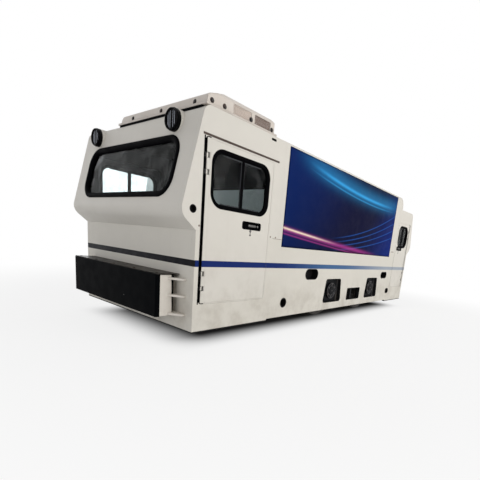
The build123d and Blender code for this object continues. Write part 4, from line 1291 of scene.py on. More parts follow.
@dataclass
class DoorTrim:
    """Rubber, sliding panes, skin edge, handle, seal and gutter of one cab door."""

    plan: CabPlan
    side: Side
    corner: float = 0.070
    section: Section = (
        (0.015, 0.0001), (0.0145, 0.0014), (0.012, 0.0019), (0.001, 0.0019), (-0.006, -0.0010),
        (-0.011, -0.0060), (-0.0125, -0.0118), (-0.001, -0.0118), (-0.001, 0.0001))
    inner_section: Section = (
        (0.012, -0.0301), (0.012, -0.0318), (0.0, -0.0318), (-0.008, -0.0250),
        (-0.010, -0.0182), (-0.001, -0.0182), (-0.001, -0.0301))
    pane: float = -0.0118
    centre_bar: float = 0.018
    pane_edge: float = 0.004
    pane_short: float = 0.026
    pane_gap: float = 0.0115
    rail_inset: float = 0.0145
    pocket: Quad = (0.166, 0.042, 0.010, 0.755)
    tray_section: Section = (
        (0.004, 0.0001), (0.0035, 0.0014), (0.0, 0.0018), (-0.003, -0.0010),
        (-0.004, -0.0119), (-0.0005, -0.0119), (-0.0005, 0.0001))
    tray_floor: Section = ((0.0, -0.0119), (0.0, -0.0110), (-0.001, -0.0105))
    grip_place: Spot = (0.012, 0.001)
    grip: Triple = (0.074, 0.020, 0.009)
    grip_levels: Section = (
        (0.0, -0.0104), (0.0, -0.0075), (-0.002, -0.0050), (-0.005, -0.0034), (-0.008, -0.0030))
    catch_place: float = 0.062
    catch: Triple = (0.016, 0.014, 0.006)
    catch_levels: Section = ((0.0, -0.0104), (0.0, -0.0040), (-0.003, -0.0020))
    lock: Spot = (-0.010, -0.032)
    lock_profile: Section = ((0.0095, 0.0001), (0.0095, 0.0008), (0.0075, 0.0013))
    key_drops: Spot = (-0.014, -0.026)
    key_blade: Triple = (0.004, 0.020, 0.001)
    key_bow: Triple = (0.014, 0.010, 0.004)
    key_levels: Section = ((0.0, 0.0001), (0.0, 0.0016))
    seal_offset: float = 0.0376
    seal_wide: float = 0.0075
    stop_offset: float = 0.0153
    stop_wide: float = 0.0505
    gutter_wide: float = 0.0100
    gutter_rise: float = 0.014
    gutter_extra: float = 0.096
    skin_corner: float = 0.015
    skin_section: Section = (
        (-0.003, 0.0001), (0.0075, 0.0001), (0.0078, 0.0008), (0.0070, 0.0013), (-0.002, 0.0013))
    skin_cut: float = 0.004
    flap_wide: float = 0.0245
    notch_wide: float = 0.0030
    notch_edges: tuple[float, ...] = (-0.0575, -0.0285, 0.0285, 0.0575)
    hinge_inset: float = 0.130

    @property
    def tag(self) -> str:
        """Name ending of this door's pieces."""
        return f"{self.plan.key}_{self.side.word}"

    @property
    def body(self) -> str:
        """The CAD body of this door."""
        return f"door_leaf_{self.tag}"

    def window(self) -> None:
        """Make the window's rubber frame and the edges of its sliding panes."""
        x, z, wide, tall = self.plan.window
        face = side_face(self.side, x, z)
        rubber = Shape()
        rubber.frame(face, wide, tall, self.corner, self.section, steps=10)
        rubber.frame(face, wide, tall, self.corner, self.inner_section, steps=10)
        rubber.bar(face, self.centre_bar, tall - self.pane_edge, self.pane, -0.0050, edge=0.0015)
        rubber.finish(f"door_window_rubber_{self.tag}", WINDOW_RUBBER, self.body, bend=50)
        edges = Shape()
        for place in (-self.pane_gap, self.pane_gap):
            edges.bar(face.moved(place, 0.0), self.pane_edge, tall - self.pane_short,
                      self.pane, -0.0080)
        rail = tall / 2 - self.rail_inset
        for place in (-rail, rail):
            edges.bar(face.moved(0.0, place), wide - 2 * self.corner, self.pane_edge,
                      self.pane, -0.0095)
        edges.finish(f"sliding_pane_edges_{self.tag}", ALUMINIUM, self.body)

    def handle(self) -> None:
        """Make the recessed pull handle with its tray, grip, catch, lock and key."""
        wide, tall, corner, height = self.pocket
        face = side_face(self.side, self.plan.handle, height)
        turn = self.side.value
        tray = Shape()
        tray.frame(face, wide, tall, corner, self.tray_section, steps=5)
        tray.pad(face, wide - 0.002, tall - 0.002, corner, self.tray_floor)
        tray.finish(f"door_handle_tray_{self.tag}", WINDOW_RUBBER, self.body, bend=40)
        handle = Shape()
        u, v = self.grip_place
        handle.pad(face.moved(u * turn, v), *self.grip, self.grip_levels)
        handle.pad(face.moved(self.catch_place * turn, 0.0), *self.catch, self.catch_levels)
        lock = face.moved(self.lock[0] * turn, self.lock[1])
        handle.turned(lock, self.lock_profile, sides=20)
        for drop, size in zip(self.key_drops, (self.key_blade, self.key_bow)):
            handle.pad(lock.moved(0.0, drop), *size, self.key_levels)
        handle.finish(f"door_handle_{self.tag}", HANDLE_STEEL, self.body, bend=40)

    def seals(self) -> None:
        """Make the seal strip by the hinges, and the front cab's stop strip and gutter."""
        x0, x1, z0, z1 = self.plan.leaf
        end, tall = self.plan.end, z1 - z0
        hinge = self.plan.hinge + end * self.seal_offset
        seal = Shape()
        seal.bar(side_face(self.side, hinge, (z0 + z1) / 2), self.seal_wide, tall + 0.012,
                 LIFT, 0.0008, edge=0.0004)
        if end < 0:
            seal.finish(f"door_seal_{self.tag}", PALE_RUBBER)
            return
        stop = side_face(self.side, hinge - end * self.stop_offset, (z0 + z1) / 2)
        seal.bar(stop, self.stop_wide, tall + 0.010, -0.0335, -0.0301, edge=0.0006)
        seal.finish(f"door_seal_{self.tag}", WINDOW_RUBBER)
        gutter = Shape()
        gutter.bar(side_face(self.side, (x0 + x1) / 2, z1 + self.gutter_rise),
                   x1 - x0 + self.gutter_extra, self.gutter_wide, LIFT, 0.0019, edge=0.0006)
        gutter.finish(f"door_gutter_{self.tag}", GUTTER_BROWN)

    def lip(self) -> None:
        """Make the skin edge that laps the doorway, and the flap with a notch at each lug."""
        x0, x1, z0, z1 = self.plan.leaf
        end = self.plan.end
        face = side_face(self.side, (x0 + x1) / 2, (z0 + z1) / 2)
        shape = Shape()
        shape.frame(face, x1 - x0, z1 - z0, self.skin_corner, self.skin_section, steps=6)
        edge = self.plan.hinge - end * self.skin_cut
        geometry = shape.bm.verts[:] + shape.bm.edges[:] + shape.bm.faces[:]
        bmesh.ops.bisect_plane(shape.bm, geom=geometry, plane_co=(edge, 0, 0),
                               plane_no=(end, 0, 0), clear_outer=True)
        rims = [e for e in shape.bm.edges if e.is_boundary]
        bmesh.ops.holes_fill(shape.bm, edges=rims)
        stops = [z0]
        for hinge in (z0 + self.hinge_inset, z1 - self.hinge_inset):
            stops += [hinge + place for place in self.notch_edges]
        stops.append(z1)
        for i, (low, high) in enumerate(zip(stops, stops[1:])):
            wide = self.notch_wide if i % 4 in (1, 3) else self.flap_wide
            shape.bar(side_face(self.side, edge + end * wide / 2, (low + high) / 2),
                      wide, high - low, LIFT, 0.0013, edge=0.0004)
        paint = FRONT_CAB_PAINT if end > 0 else REAR_CAB_PAINT
        shape.finish(f"door_skin_lip_{self.tag}", paint, self.body, bend=40)

    def build(self) -> None:
        """Make all the trim of this door."""
        self.window()
        self.lip()
        self.handle()
        self.seals()


@dataclass
class Headlamps:
    """Lens rims, centre posts and light bars of one cab's two lamps."""

    plan: CabPlan
    spread: float = 0.455
    lens: float = 0.052
    bars: int = 7
    bar_size: Spot = (0.0024, 0.0045)
    bar_short: float = 0.014
    bulge: float = 0.0050
    rim: Section = (
        (0.0525, -0.0069), (0.0570, 0.0001), (0.0575, 0.0060), (0.0560, 0.0115),
        (0.0530, 0.0130), (0.0505, 0.0110), (0.0500, -0.0069))

    def build(self) -> None:
        """Make the rims and bars of both lamps."""
        rims, bars = Shape(), Shape()
        nose, high = self.plan.lamp
        pitch = 2 * self.lens / (self.bars + 1)
        for side in Side:
            face = end_face(self.plan.end, nose, side.value * self.spread, high)
            rims.turned(face, self.rim, sides=48, ring=True)
            rims.bar(face, 0.006, 2 * self.lens - 0.006, -0.0069, 0.0060)
            for i in range(self.bars):
                u = (i - (self.bars - 1) / 2) * pitch
                tall = 2 * math.sqrt(self.lens ** 2 - u ** 2) - self.bar_short
                spot = face.at(u, 0, -0.0010 + self.bulge * (1 - (u / self.lens) ** 2))
                bars.take(slats(LAMP_BAR, 1, spot, Vector((0, 0, 0.01)),
                                (*self.bar_size, tall), sides=8))
        rims.finish(f"lamp_rims_{self.plan.key}", LAMP_RIM, bend=50)
        bars.finish(f"lamp_bars_{self.plan.key}", LAMP_BAR, bend=50)


@dataclass
class AxleCovers:
    """Bolts, lips and grease nipples on the four axle-box covers."""

    places: Spot = (0.125, -0.735)
    high: float = 0.285
    face: float = 0.660
    hub: float = 0.666
    ring: float = 0.060
    bolts: int = 6
    bolt_size: Spot = (0.0072, 0.0052)
    outer_lip: Section = ((0.0735, -0.0020), (0.0738, 0.0), (0.0730, 0.0012),
                          (0.0700, 0.0014), (0.0690, 0.0), (0.0690, -0.0020))
    inner_lip: Section = ((0.0475, -0.0010), (0.0470, 0.0012), (0.0440, 0.0016),
                          (0.0425, 0.0), (0.0425, -0.0010))
    nipple: Section = ((0.007, -0.0010), (0.007, 0.0020), (0.004, 0.0026),
                       (0.003, 0.0060), (0.0015, 0.0072))

    def build(self) -> None:
        """Make six bolts, two raised lips and a nipple on every cover."""
        lips, spots = Shape(), []
        for side, x in product(Side, self.places):
            for i in range(self.bolts):
                turn = math.radians(360 * (i + 0.5) / self.bolts)
                spots.append((Vector((x + self.ring * math.cos(turn), side.value * self.face,
                                      self.high + self.ring * math.sin(turn))), side.out))
            face = side_face(side, x, self.high, self.face)
            lips.turned(face, self.outer_lip, sides=48, ring=True)
            lips.turned(face, self.inner_lip, sides=40, ring=True)
            lips.turned(side_face(side, x, self.high, self.hub), self.nipple, sides=16)
        bolt_heads("axle_cover_bolts", spots, CAST_BRIGHT, *self.bolt_size)
        lips.finish("axle_cover_lips", CAST_BRIGHT, bend=40)


@dataclass
class SideTrim:
    """Seam bolts and strips, lifting bushes and slot boxes of both long sides."""

    single_bolts: tuple[Spot, ...] = ((1.090, 0.703), (1.035, 0.703), (1.7035, 0.716))
    row: Spot = (-1.170, 0.703)
    row_pitch: float = 0.018
    row_count: int = 5
    bolt_size: Spot = (0.0042, 0.0009)
    strip: Quad = (1.016, 0.694, 0.100, 0.0022)
    chin_hole: Spot = (1.749, 0.801)
    chin_collar: Section = (
        (0.0180, 0.0004), (0.0185, 0.0012), (0.0220, 0.0012), (0.0226, 0.0002),
        (0.0202, 0.0001), (0.0202, -0.0300), (0.0180, -0.0300))
    chin_plug: Section = ((0.0202, -0.0050), (0.0202, 0.0), (0.0150, 0.0012))
    plug_face: float = 0.650
    lift_hole: Spot = (0.870, 0.224)
    lift_collar: Section = (
        (0.0305, 0.0006), (0.0320, 0.0014), (0.0375, 0.0014), (0.0385, 0.0002),
        (0.0335, 0.0001), (0.0335, -0.0700), (0.0305, -0.0700))
    slots: tuple[Quad, ...] = ((0.510, 0.441, 0.196, 0.090), (-1.050, 0.424, 0.178, 0.077))
    slot_round: float = 0.48
    slot_wall: Section = (
        (-0.0004, -0.0015), (-0.0004, -0.0640), (-0.0030, -0.0640), (-0.0030, -0.0015))
    slot_floor: Section = ((0.0, -0.0660), (0.0, -0.0620), (-0.002, -0.0600))

    def seams(self) -> None:
        """Make the small bolts along the seams and the joint strips beside them."""
        strips, spots = Shape(), []
        places = [*self.single_bolts, *((self.row[0] - self.row_pitch * i, self.row[1])
                                        for i in range(self.row_count))]
        x, z, wide, tall = self.strip
        for side in Side:
            spots += [(Vector((px, side.value * HALF_WIDTH, pz)), side.out) for px, pz in places]
            strips.bar(side_face(side, x, z), wide, tall, LIFT, 0.0006, edge=0.0003)
        bolt_heads("seam_bolts", spots, BOLT_BROWN, *self.bolt_size)
        strips.finish("seam_strips", BOLT_BROWN)

    def bushes(self) -> None:
        """Make the collars of the lifting holes and the plugs in the chin holes."""
        bushes = Shape()
        for side in Side:
            bushes.turned(side_face(side, *self.chin_hole), self.chin_collar, sides=28, ring=True)
            plug = side_face(side, *self.chin_hole, self.plug_face)
            bushes.turned(plug, self.chin_plug, sides=28)
            bushes.turned(side_face(side, *self.lift_hole), self.lift_collar, sides=40, ring=True)
        bushes.finish("lifting_bushes", BUSH_STEEL, bend=40)

    def boxes(self) -> None:
        """Make the trays that close the slots in the side frames."""
        boxes = Shape()
        for side, (x, z, wide, tall) in product(Side, self.slots):
            face, corner = side_face(side, x, z), tall * self.slot_round
            boxes.frame(face, wide, tall, corner, self.slot_wall)
            boxes.pad(face, wide - 0.001, tall - 0.001, corner, self.slot_floor, steps=8)
        boxes.finish("slot_boxes", BUSH_STEEL, bend=40)

    def build(self) -> None:
        """Make all the trim of the long sides."""
        self.seams()
        self.bushes()
        self.boxes()


@dataclass
class RoofTrim:
    """Joint strips, screws and lifting eyes on the hood roof."""

    top: float = 1.335
    joints: tuple[float, ...] = (0.960, 0.260, -0.440, -1.140)
    reach: float = 0.600
    strip: Spot = (0.040, 0.0022)
    screws: int = 13
    screw_offset: float = 0.012
    screw_size: Spot = (0.0048, 0.0022)
    eye_x: Spot = (0.610, -0.790)
    eye_y: float = 0.520
    eye: Spot = (0.022, 0.030)
    eye_steps: int = 14
    eye_sink: float = 0.002
    rod: float = 0.0052
    pad: Triple = (0.070, 0.070, 0.008)
    pad_levels: Section = ((0.0, 0.0001), (0.0, 0.0050), (-0.002, 0.0065))

    def build(self) -> None:
        """Make the strips with their screws, and the eyes on their pads."""
        strips, spots = Shape(), []
        wide, thick = self.strip
        for x in self.joints:
            strips.bar(level_face(x, 0, self.top), wide, 2 * self.reach, LIFT, thick, 0.0008)
            for i in range(self.screws):
                y = (i - self.screws // 2) * self.reach / (self.screws / 2)
                spots += [(Vector((x + dx, y, self.top + thick)), Vector((0, 0, 1)))
                          for dx in (-self.screw_offset, self.screw_offset)]
        strips.finish("roof_joint_strips", HOOD_PAINT)
        bolt_heads("roof_screws", spots, BOLT_BROWN, *self.screw_size)
        eyes = Shape()
        half, rise = self.eye
        foot = self.pad_levels[-1][1]
        sink = Vector((0, 0, self.eye_sink))
        for x, side in product(self.eye_x, Side):
            y = side.value * self.eye_y
            eyes.pad(level_face(x, y, self.top), *self.pad, self.pad_levels)
            ring = [Vector((x + half * math.cos(a), y, self.top + foot + rise * math.sin(a)))
                    for a in (math.pi * i / self.eye_steps for i in range(self.eye_steps + 1))]
            eyes.tube([ring[0] - sink, *ring, ring[-1] - sink], self.rod)
        eyes.finish("roof_lifting_eyes", BOLT_BLACK, bend=50)


@dataclass
class BumperTrim:
    """Cream end plates, black strips that stand as painted shade in the slot behind them, and top
    sheet of one bumper.
    """

    end: int
    middle: float = 0.3065
    plate: Triple = (0.076, 0.240, 0.007)
    plate_foot: float = 1.12
    plate_place: Spot = (1.8495, 0.5345)
    # Size and place of the black strips that stand for the shade in the slot behind each end plate.
    packing: Spot = (0.015, 0.006)
    packing_place: Spot = (1.7652, 0.5310)
    sheet: Spot = (0.138, 1.092)
    sheet_place: Spot = (1.797, 0.430)
    sheet_levels: Spot = (0.0002, 0.0034)
    stud_place: float = 0.050
    studs: tuple[float, ...] = (-0.500, -0.250, 0.0, 0.250, 0.500)
    stud: Section = ((0.0085, 0.003), (0.0085, 0.0052), (0.0065, 0.0066))

    def build(self) -> None:
        """Make the end plates and the black painted-shade strips on both sides, and the top sheet
        with its studs.
        """
        key = "front" if self.end > 0 else "rear"
        deep, tall, thick = self.plate
        plates, packing, sheet = Shape(), Shape(), Shape()
        for side in Side:
            x, y = self.plate_place
            away = self.end * side.value
            outline = [(0.0, -tall / 2), (deep * self.plate_foot * away, -tall / 2),
                       (deep * away, tall / 2), (0.0, tall / 2)]
            plates.prism(side_face(side, self.end * x, self.middle, y), outline, -thick, 0.0)
            x, y = self.packing_place
            packing.bar(side_face(side, self.end * x, self.middle, y), self.packing[0], tall,
                        -self.packing[1], 0.0)
        plates.finish(f"bumper_end_plates_{key}", BUMPER_PAINT, bend=30, bevel=0.0015)
        packing.finish(f"bumper_packing_{key}", BUMPER_BLACK)
        top = level_face(self.end * self.sheet_place[0], 0, self.sheet_place[1])
        sheet.bar(top, *self.sheet, *self.sheet_levels)
        for y in self.studs:
            sheet.turned(top.moved(self.stud_place * self.end, y), self.stud, sides=14)
        sheet.finish(f"bumper_top_sheet_{key}", BUMPER_TOP)


@dataclass
class Cooler:
    """Flange bolts, grilles, a black strip of painted shade under the front edge, and drain rubber of
    the roof air conditioner.
    """

    shell: float = 0.661
    middle: float = 1.379
    grille: Spot = (0.144, 0.048)
    grille_back: Section = ((0.0, -0.0062), (0.0, -0.0052), (-0.001, -0.0046))
    louvre_x: float = 1.417
    blades: int = 22
    mesh_x: float = 1.243
    wires: int = 24
    wire_lean: float = 0.55
    bolt_size: Spot = (0.0100, 0.0042)
    end_bolts: Triple = (0.555, 0.235, -0.085)
    end_bolt_place: Spot = (1.6768, 1.364)
    end_bolt_lean: Triple = (0.99, 0, 0.14)
    side_bolts: Quad = (1.646, 1.557, 1.346, 1.155)
    side_bolt_high: float = 1.366
    # Place and size of the black strip under the base's front edge, which is painted shade.
    strip_place: Triple = (1.6842, 0.205, 1.3285)
    strip: Spot = (0.860, 0.0128)
    drain_place: Spot = (1.138, 1.312)
    drain: Triple = (0.046, 0.013, 0.005)
    drain_levels: Section = ((0.0, 0.0001), (0.0, 0.0014), (-0.001, 0.0019))

    def bolts(self) -> None:
        """Make the flange bolts along the front and the near side."""
        x, z = self.end_bolt_place
        spots = [(Vector((x, y, z)), Vector(self.end_bolt_lean)) for y in self.end_bolts]
        spots += [(Vector((x, self.shell, self.side_bolt_high)), Side.LEFT.out)
                  for x in self.side_bolts]
        bolt_heads("cooler_bolts", spots, BOLT_BLACK, *self.bolt_size)

    def row(self, finish: Finish, x: float, inset: float, count: int, size: Triple,
            lean: float = 0.0) -> Mesh:
        """Return upright wires or blades side by side over one grille opening.

        Args:
            finish: Material of the row.
            x: X of the opening's middle.
            inset: How far the row lies behind the shell's face.
            count: Number of wires or blades.
            size: Width, depth and height of each.
            lean: How far each leans along the shell, in radians.

        Returns:
            The row as one mesh.
        """
        step = self.grille[0] / count
        start = Vector((x - self.grille[0] / 2 + step / 2, self.shell - inset, self.middle))
        return slats(finish, count, start, Vector((step, 0, 0)), size, (0.0, lean, 0.0), 6)

    def grilles(self) -> None:
        """Make the wire mesh and the louvre blades, each before its back; the louvre and its back are
        painted paler than the shell as painted light against the recess's shade.
        """
        long, high = self.grille
        for name, x, paint in (("louvre_back", self.louvre_x, LOUVRE_LIGHTENED),
                               ("mesh_back", self.mesh_x, GRILLE_DARK)):
            back = Shape()
            back.pad(side_face(Side.LEFT, x, self.middle, self.shell), long - 0.001,
                     high - 0.001, 0.002, self.grille_back)
            back.finish(f"cooler_{name}", paint)
        wires, blades = Shape(), Shape()
        for lean in (self.wire_lean, -self.wire_lean):
            wires.take(self.row(GRILLE_RED, self.mesh_x, 0.0025, self.wires,
                                (0.0014, 0.0014, high * 1.12), lean))
        wires.finish("cooler_mesh", GRILLE_RED, bend=50)
        blades.take(self.row(LOUVRE_LIGHTENED, self.louvre_x, 0.0022, self.blades,
                             (0.0022, 0.0030, high - 0.001)))
        blades.finish("cooler_louvre", LOUVRE_LIGHTENED, bend=50)

    def gasket(self) -> None:
        """Make the black strip under the base's front edge, which stands for the shadow where the
        base overhangs the roof's rounded edge, and the drain slot's rubber.
        """
        strip = Shape()
        # A black strip as painted shade under the front edge.
        strip.bar(end_face(1, *self.strip_place), *self.strip, -0.0080, 0.0080, edge=0.0015)
        strip.pad(side_face(Side.LEFT, *self.drain_place), *self.drain, self.drain_levels)
        strip.finish("cooler_gasket", WINDOW_RUBBER)

    def build(self) -> None:
        """Make all the cooler's details."""
        self.bolts()
        self.grilles()
        self.gasket()


@dataclass
class HoodBanner:
    """The printed cloth stretched over one hood side."""

    side: Side
    face: float = 0.6757
    thick: float = 0.0005
    columns: int = 140
    rows: int = 44

    def ripple(self, u: float, v: float) -> float:
        """Return how far the cloth stands off the panel at a place on it."""
        slow = math.sin(9.0 * u + 2.0 * v) * math.sin(3.1 * v + 0.6)
        quick = math.sin(31.0 * u - 4.0 * v) * 0.35
        hem = 0.25 * math.exp(-((1 - u) / 0.02) ** 2)
        return 0.0005 * (0.5 + 0.35 * slow + 0.15 * quick) + 0.0005 * hem

    def build(self) -> None:
        """Make the cloth with its thickness and its hems."""
        turn = self.side.value
        shape = Shape()
        grid = []
        for i in range(self.columns + 1):
            u = i / self.columns
            column = []
            for j in range(self.rows + 1):
                v = j / self.rows
                y = turn * (self.face + self.ripple(u, v))
                spot = (BANNER_FRONT - u * BANNER_LONG, y, BANNER_LOW + v * BANNER_TALL)
                column.append(shape.bm.verts.new(spot))
            grid.append(column)
        for a, b in zip(grid, grid[1:]):
            for j in range(self.rows):
                quad = (a[j], b[j], b[j + 1], a[j + 1])
                shape.bm.faces.new(quad if turn > 0 else tuple(reversed(quad)))
        piece = shape.finish(f"banner_cloth_{self.side.word}", BANNER_PRINT, bend=60)
        cloth = piece.modifiers.new("Thickness", "SOLIDIFY")
        cloth.thickness, cloth.offset = self.thick, -1.0
        if turn > 0:
            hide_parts("banners")


@dataclass
class DeskGear:
    """Gauges, switches, stop button and controller on one cab's desk."""

    plan: CabPlan
    edge: float = 1.663
    long: float = 0.120
    top: float = 0.760
    fall: float = 0.040
    panels: tuple[Spot, ...] = ((-0.245, 0.190), (0.060, 0.260))
    panel_size: Spot = (0.056, 0.006)
    panel_levels: Section = ((0.0, 0.0001), (0.0, 0.0018), (-0.001, 0.0024))
    gauges: Triple = (-0.300, -0.245, -0.190)
    gauge_rim: Section = (
        (0.0195, 0.0020), (0.0232, 0.0020), (0.0230, 0.0052), (0.0212, 0.0064), (0.0198, 0.0048))
    gauge_dial: Section = ((0.0197, 0.0024), (0.0197, 0.0036), (0.0190, 0.0038))
    needle: Spot = (0.0016, 0.0120)
    needle_offset: float = 0.0035
    needle_hub: Section = ((0.0024, 0.0037), (0.0024, 0.0052), (0.0016, 0.0056))
    switches: int = 6
    first_switch: Spot = (-0.045, 0.010)
    switch_pitch: float = 0.030
    switch_nut: Section = ((0.0075, 0.0020), (0.0075, 0.0042), (0.0060, 0.0052))
    toggle: Spot = (0.0040, 0.0050)
    light_drop: float = -0.026
    light: Section = ((0.0038, 0.0020), (0.0038, 0.0034), (0.0022, 0.0046))
    stop_place: float = 0.165
    stop: Section = (
        (0.0100, 0.0020), (0.0100, 0.0100), (0.0175, 0.0120), (0.0180, 0.0150),
        (0.0140, 0.0190), (0.0060, 0.0205))
    lever_place: float = 0.300
    lever: Section = (
        (0.0300, 0.0001), (0.0300, 0.0100), (0.0240, 0.0160), (0.0090, 0.0190),
        (0.0070, 0.0550), (0.0070, 0.0600), (0.0130, 0.0660), (0.0155, 0.0750),
        (0.0130, 0.0840), (0.0060, 0.0885))

    @property
    def face(self) -> Face:
        """Return the middle of the desk's leaning top."""
        end = self.plan.end
        size = math.hypot(self.long, self.fall)
        spot = Vector((end * (self.edge - self.long / 2), 0, self.top - self.fall / 2))
        up = Vector((end * self.long / size, 0, self.fall / size))
        return Face(spot, Vector((0, -end, 0)), up)

    def gauge(self, place: Face, plates: Shape, dials: Shape) -> None:
        """Add a gauge: its rim, dial, needle and the needle's hub."""
        plates.turned(place, self.gauge_rim, sides=36, ring=True)
        dials.turned(place, self.gauge_dial, sides=36)
        pointer = place.moved(self.needle_offset, self.needle_offset)
        plates.bar(pointer, *self.needle, 0.0037, 0.0046, edge=0.0003)
        plates.turned(place, self.needle_hub, sides=14)

    def switch(self, place: Face, plates: Shape, dials: Shape) -> None:
        """Add a toggle switch with its nut and the small light below it."""
        plates.turned(place, self.switch_nut, sides=18)
        plates.bar(place.moved(0.0, 0.002), *self.toggle, 0.0050, 0.0150, edge=0.0008)
        dials.turned(place.moved(0.0, self.light_drop), self.light, sides=14)

    def build(self) -> None:
        """Make the instruments, each in its own finish."""
        plates, dials, stop = Shape(), Shape(), Shape()
        face = self.face
        for u, wide in self.panels:
            plates.pad(face.moved(u, 0.0), wide, *self.panel_size, self.panel_levels)
        for u in self.gauges:
            self.gauge(face.moved(u, 0.0), plates, dials)
        u, v = self.first_switch
        for i in range(self.switches):
            self.switch(face.moved(u + self.switch_pitch * i, v), plates, dials)
        stop.turned(face.moved(self.stop_place, 0.0), self.stop, sides=28)
        plates.turned(face.moved(self.lever_place, 0.0), self.lever, sides=28)
        key = self.plan.key
        plates.finish(f"desk_instruments_{key}", INSTRUMENT_BLACK, bend=40)
        dials.finish(f"desk_dials_{key}", DIAL_WHITE, bend=40)
        stop.finish(f"desk_stop_button_{key}", STOP_RED, bend=50)


@dataclass
class Pillow:
    """One padded block with pulled-in sides, sewn channels, a welt and stitches."""

    name: str
    low: Vector
    high: Vector
    end: int
    channels: Triple = (-0.52, 0.0, 0.52)
    seam_depth: float = 0.005
    seam_wide: float = 0.045
    pull: float = 0.10
    welt: float = 0.0032
    welt_steps: int = 80
    seam_reach: float = 0.86
    seam_steps: int = 20
    thread_rise: float = 0.0004
    cuts: int = 23

    @property
    def half(self) -> Vector:
        """Return half of the block's size."""
        return (self.high - self.low) / 2

    @property
    def lying(self) -> bool:
        """Return whether the block is a cushion; a back stands."""
        return self.half.z < self.half.x

    def place(self, spot: Vector, sewn: bool = True) -> Vector:
        """Return where a point of the cube of half size 1 comes on the block."""
        x, y, z = spot
        half, flat = self.half, 2 if self.lying else 0
        swell = [1.0 - self.pull * (b ** 4 + c ** 4) for b, c in ((y, z), (x, z), (x, y))]
        power = (abs(x) ** 6 + abs(y) ** 6 + abs(z) ** 6) ** (1 / 6)
        rest = [half[i] * spot[i] / power * swell[i] for i in range(3)]
        if sewn:
            seam = sum(math.exp(-((y - line) / self.seam_wide) ** 2) for line in self.channels)
            rest[flat] *= 1.0 - self.seam_depth / half[flat] * min(seam, 1.0)
        return (self.low + self.high) / 2 + Vector(rest)

    def block(self) -> Object:
        """Make the padded block itself."""
        shape = Shape()
        bmesh.ops.create_cube(shape.bm, size=2.0)
        bmesh.ops.subdivide_edges(shape.bm, edges=shape.bm.edges[:], cuts=self.cuts,
                                  use_grid_fill=True)
        for vert in shape.bm.verts:
            vert.co = self.place(vert.co)
        piece = shape.finish(self.name, SEAT_HIDE, bend=80)
        smooth = piece.modifiers.new("Smooth", "SUBSURF")
        smooth.levels = smooth.render_levels = 1
        return piece

    def edging(self) -> None:
        """Make the welt round the block's middle."""
        welts, ring = Shape(), []
        for i in range(self.welt_steps + 1):
            turn = math.tau * i / self.welt_steps
            u, v = math.cos(turn), math.sin(turn)
            size = max(abs(u), abs(v))
            u, v = u / size, v / size
            ring.append(self.place(Vector((u, v, 0) if self.lying else (0, u, v)), False))
        welts.tube(ring, self.welt, sides=8)
        welts.finish(f"{self.name}_welt", SEAT_WELT, bend=60)

    def stitches(self) -> None:
        """Make the threads along the channels."""
        lines = []
        for line in self.channels:
            run = []
            for i in range(self.seam_steps + 1):
                across = -self.seam_reach + 2 * self.seam_reach * i / self.seam_steps
                if self.lying:
                    spot, off = Vector((across, line, 1)), Vector((0, 0, self.thread_rise))
                else:
                    spot = Vector((self.end, line, across))
                    off = Vector((self.thread_rise * self.end, 0, 0))
                run.append(self.place(spot) + off)
            lines.append(run)
        seams = Shape()
        seams.take(stitched(lines, THREAD))
        seams.finish(f"{self.name}_stitches", THREAD, bend=60)

    def build(self) -> Object:
        """Make the block, its welt and its stitches, and return the padded block."""
        piece = self.block()
        self.edging()
        self.stitches()
        return piece


@dataclass
class Seat:
    """One driver's seat: padded cushion and back on a pressed post."""

    plan: CabPlan
    long: float = 0.230
    wide: float = 0.420
    low: float = 0.600
    pad_tall: float = 0.070
    back_top: float = 0.755
    wall_gap: float = 0.020
    inset: float = 0.004
    cushion_rise: float = 0.010
    back_inset: float = 0.003
    floor: float = 0.274
    post: Triple = (0.115, 0.210, 0.012)
    post_levels: Section = (
        (0.0, 0.0), (0.0, 0.004), (-0.020, 0.016), (-0.022, 0.300), (-0.006, 0.322),
        (-0.004, 0.326))
    tray: Triple = (0.200, 0.380, 0.020)
    tray_levels: Section = ((0.0, 0.326), (0.0, 0.334), (-0.004, 0.338))

    def build(self) -> Object:
        """Make the seat and return its cushion."""
        key, end = self.plan.key, self.plan.end
        wall = self.plan.inner + end * self.wall_gap
        reach = wall + end * self.long
        half = self.wide / 2 - self.inset
        x0, x1 = sorted((wall + end * self.inset, reach - end * self.inset))
        cushion = Pillow(f"seat_cushion_{key}", Vector((x0, -half, self.low + self.cushion_rise)),
                         Vector((x1, half, self.low + self.pad_tall)), end).build()
        x0, x1 = sorted((wall + end * self.back_inset, wall + end * self.pad_tall))
        Pillow(f"seat_back_{key}", Vector((x0, -half, self.low + self.pad_tall - self.inset)),
               Vector((x1, half, self.back_top)), end).build()
        post = Shape()
        floor = level_face(wall + end * self.long / 2, 0, self.floor)
        post.pad(floor, *self.post, self.post_levels)
        post.pad(floor, *self.tray, self.tray_levels)
        post.finish(f"seat_post_{key}", CHASSIS_PAINT, bend=40)
        return cushion


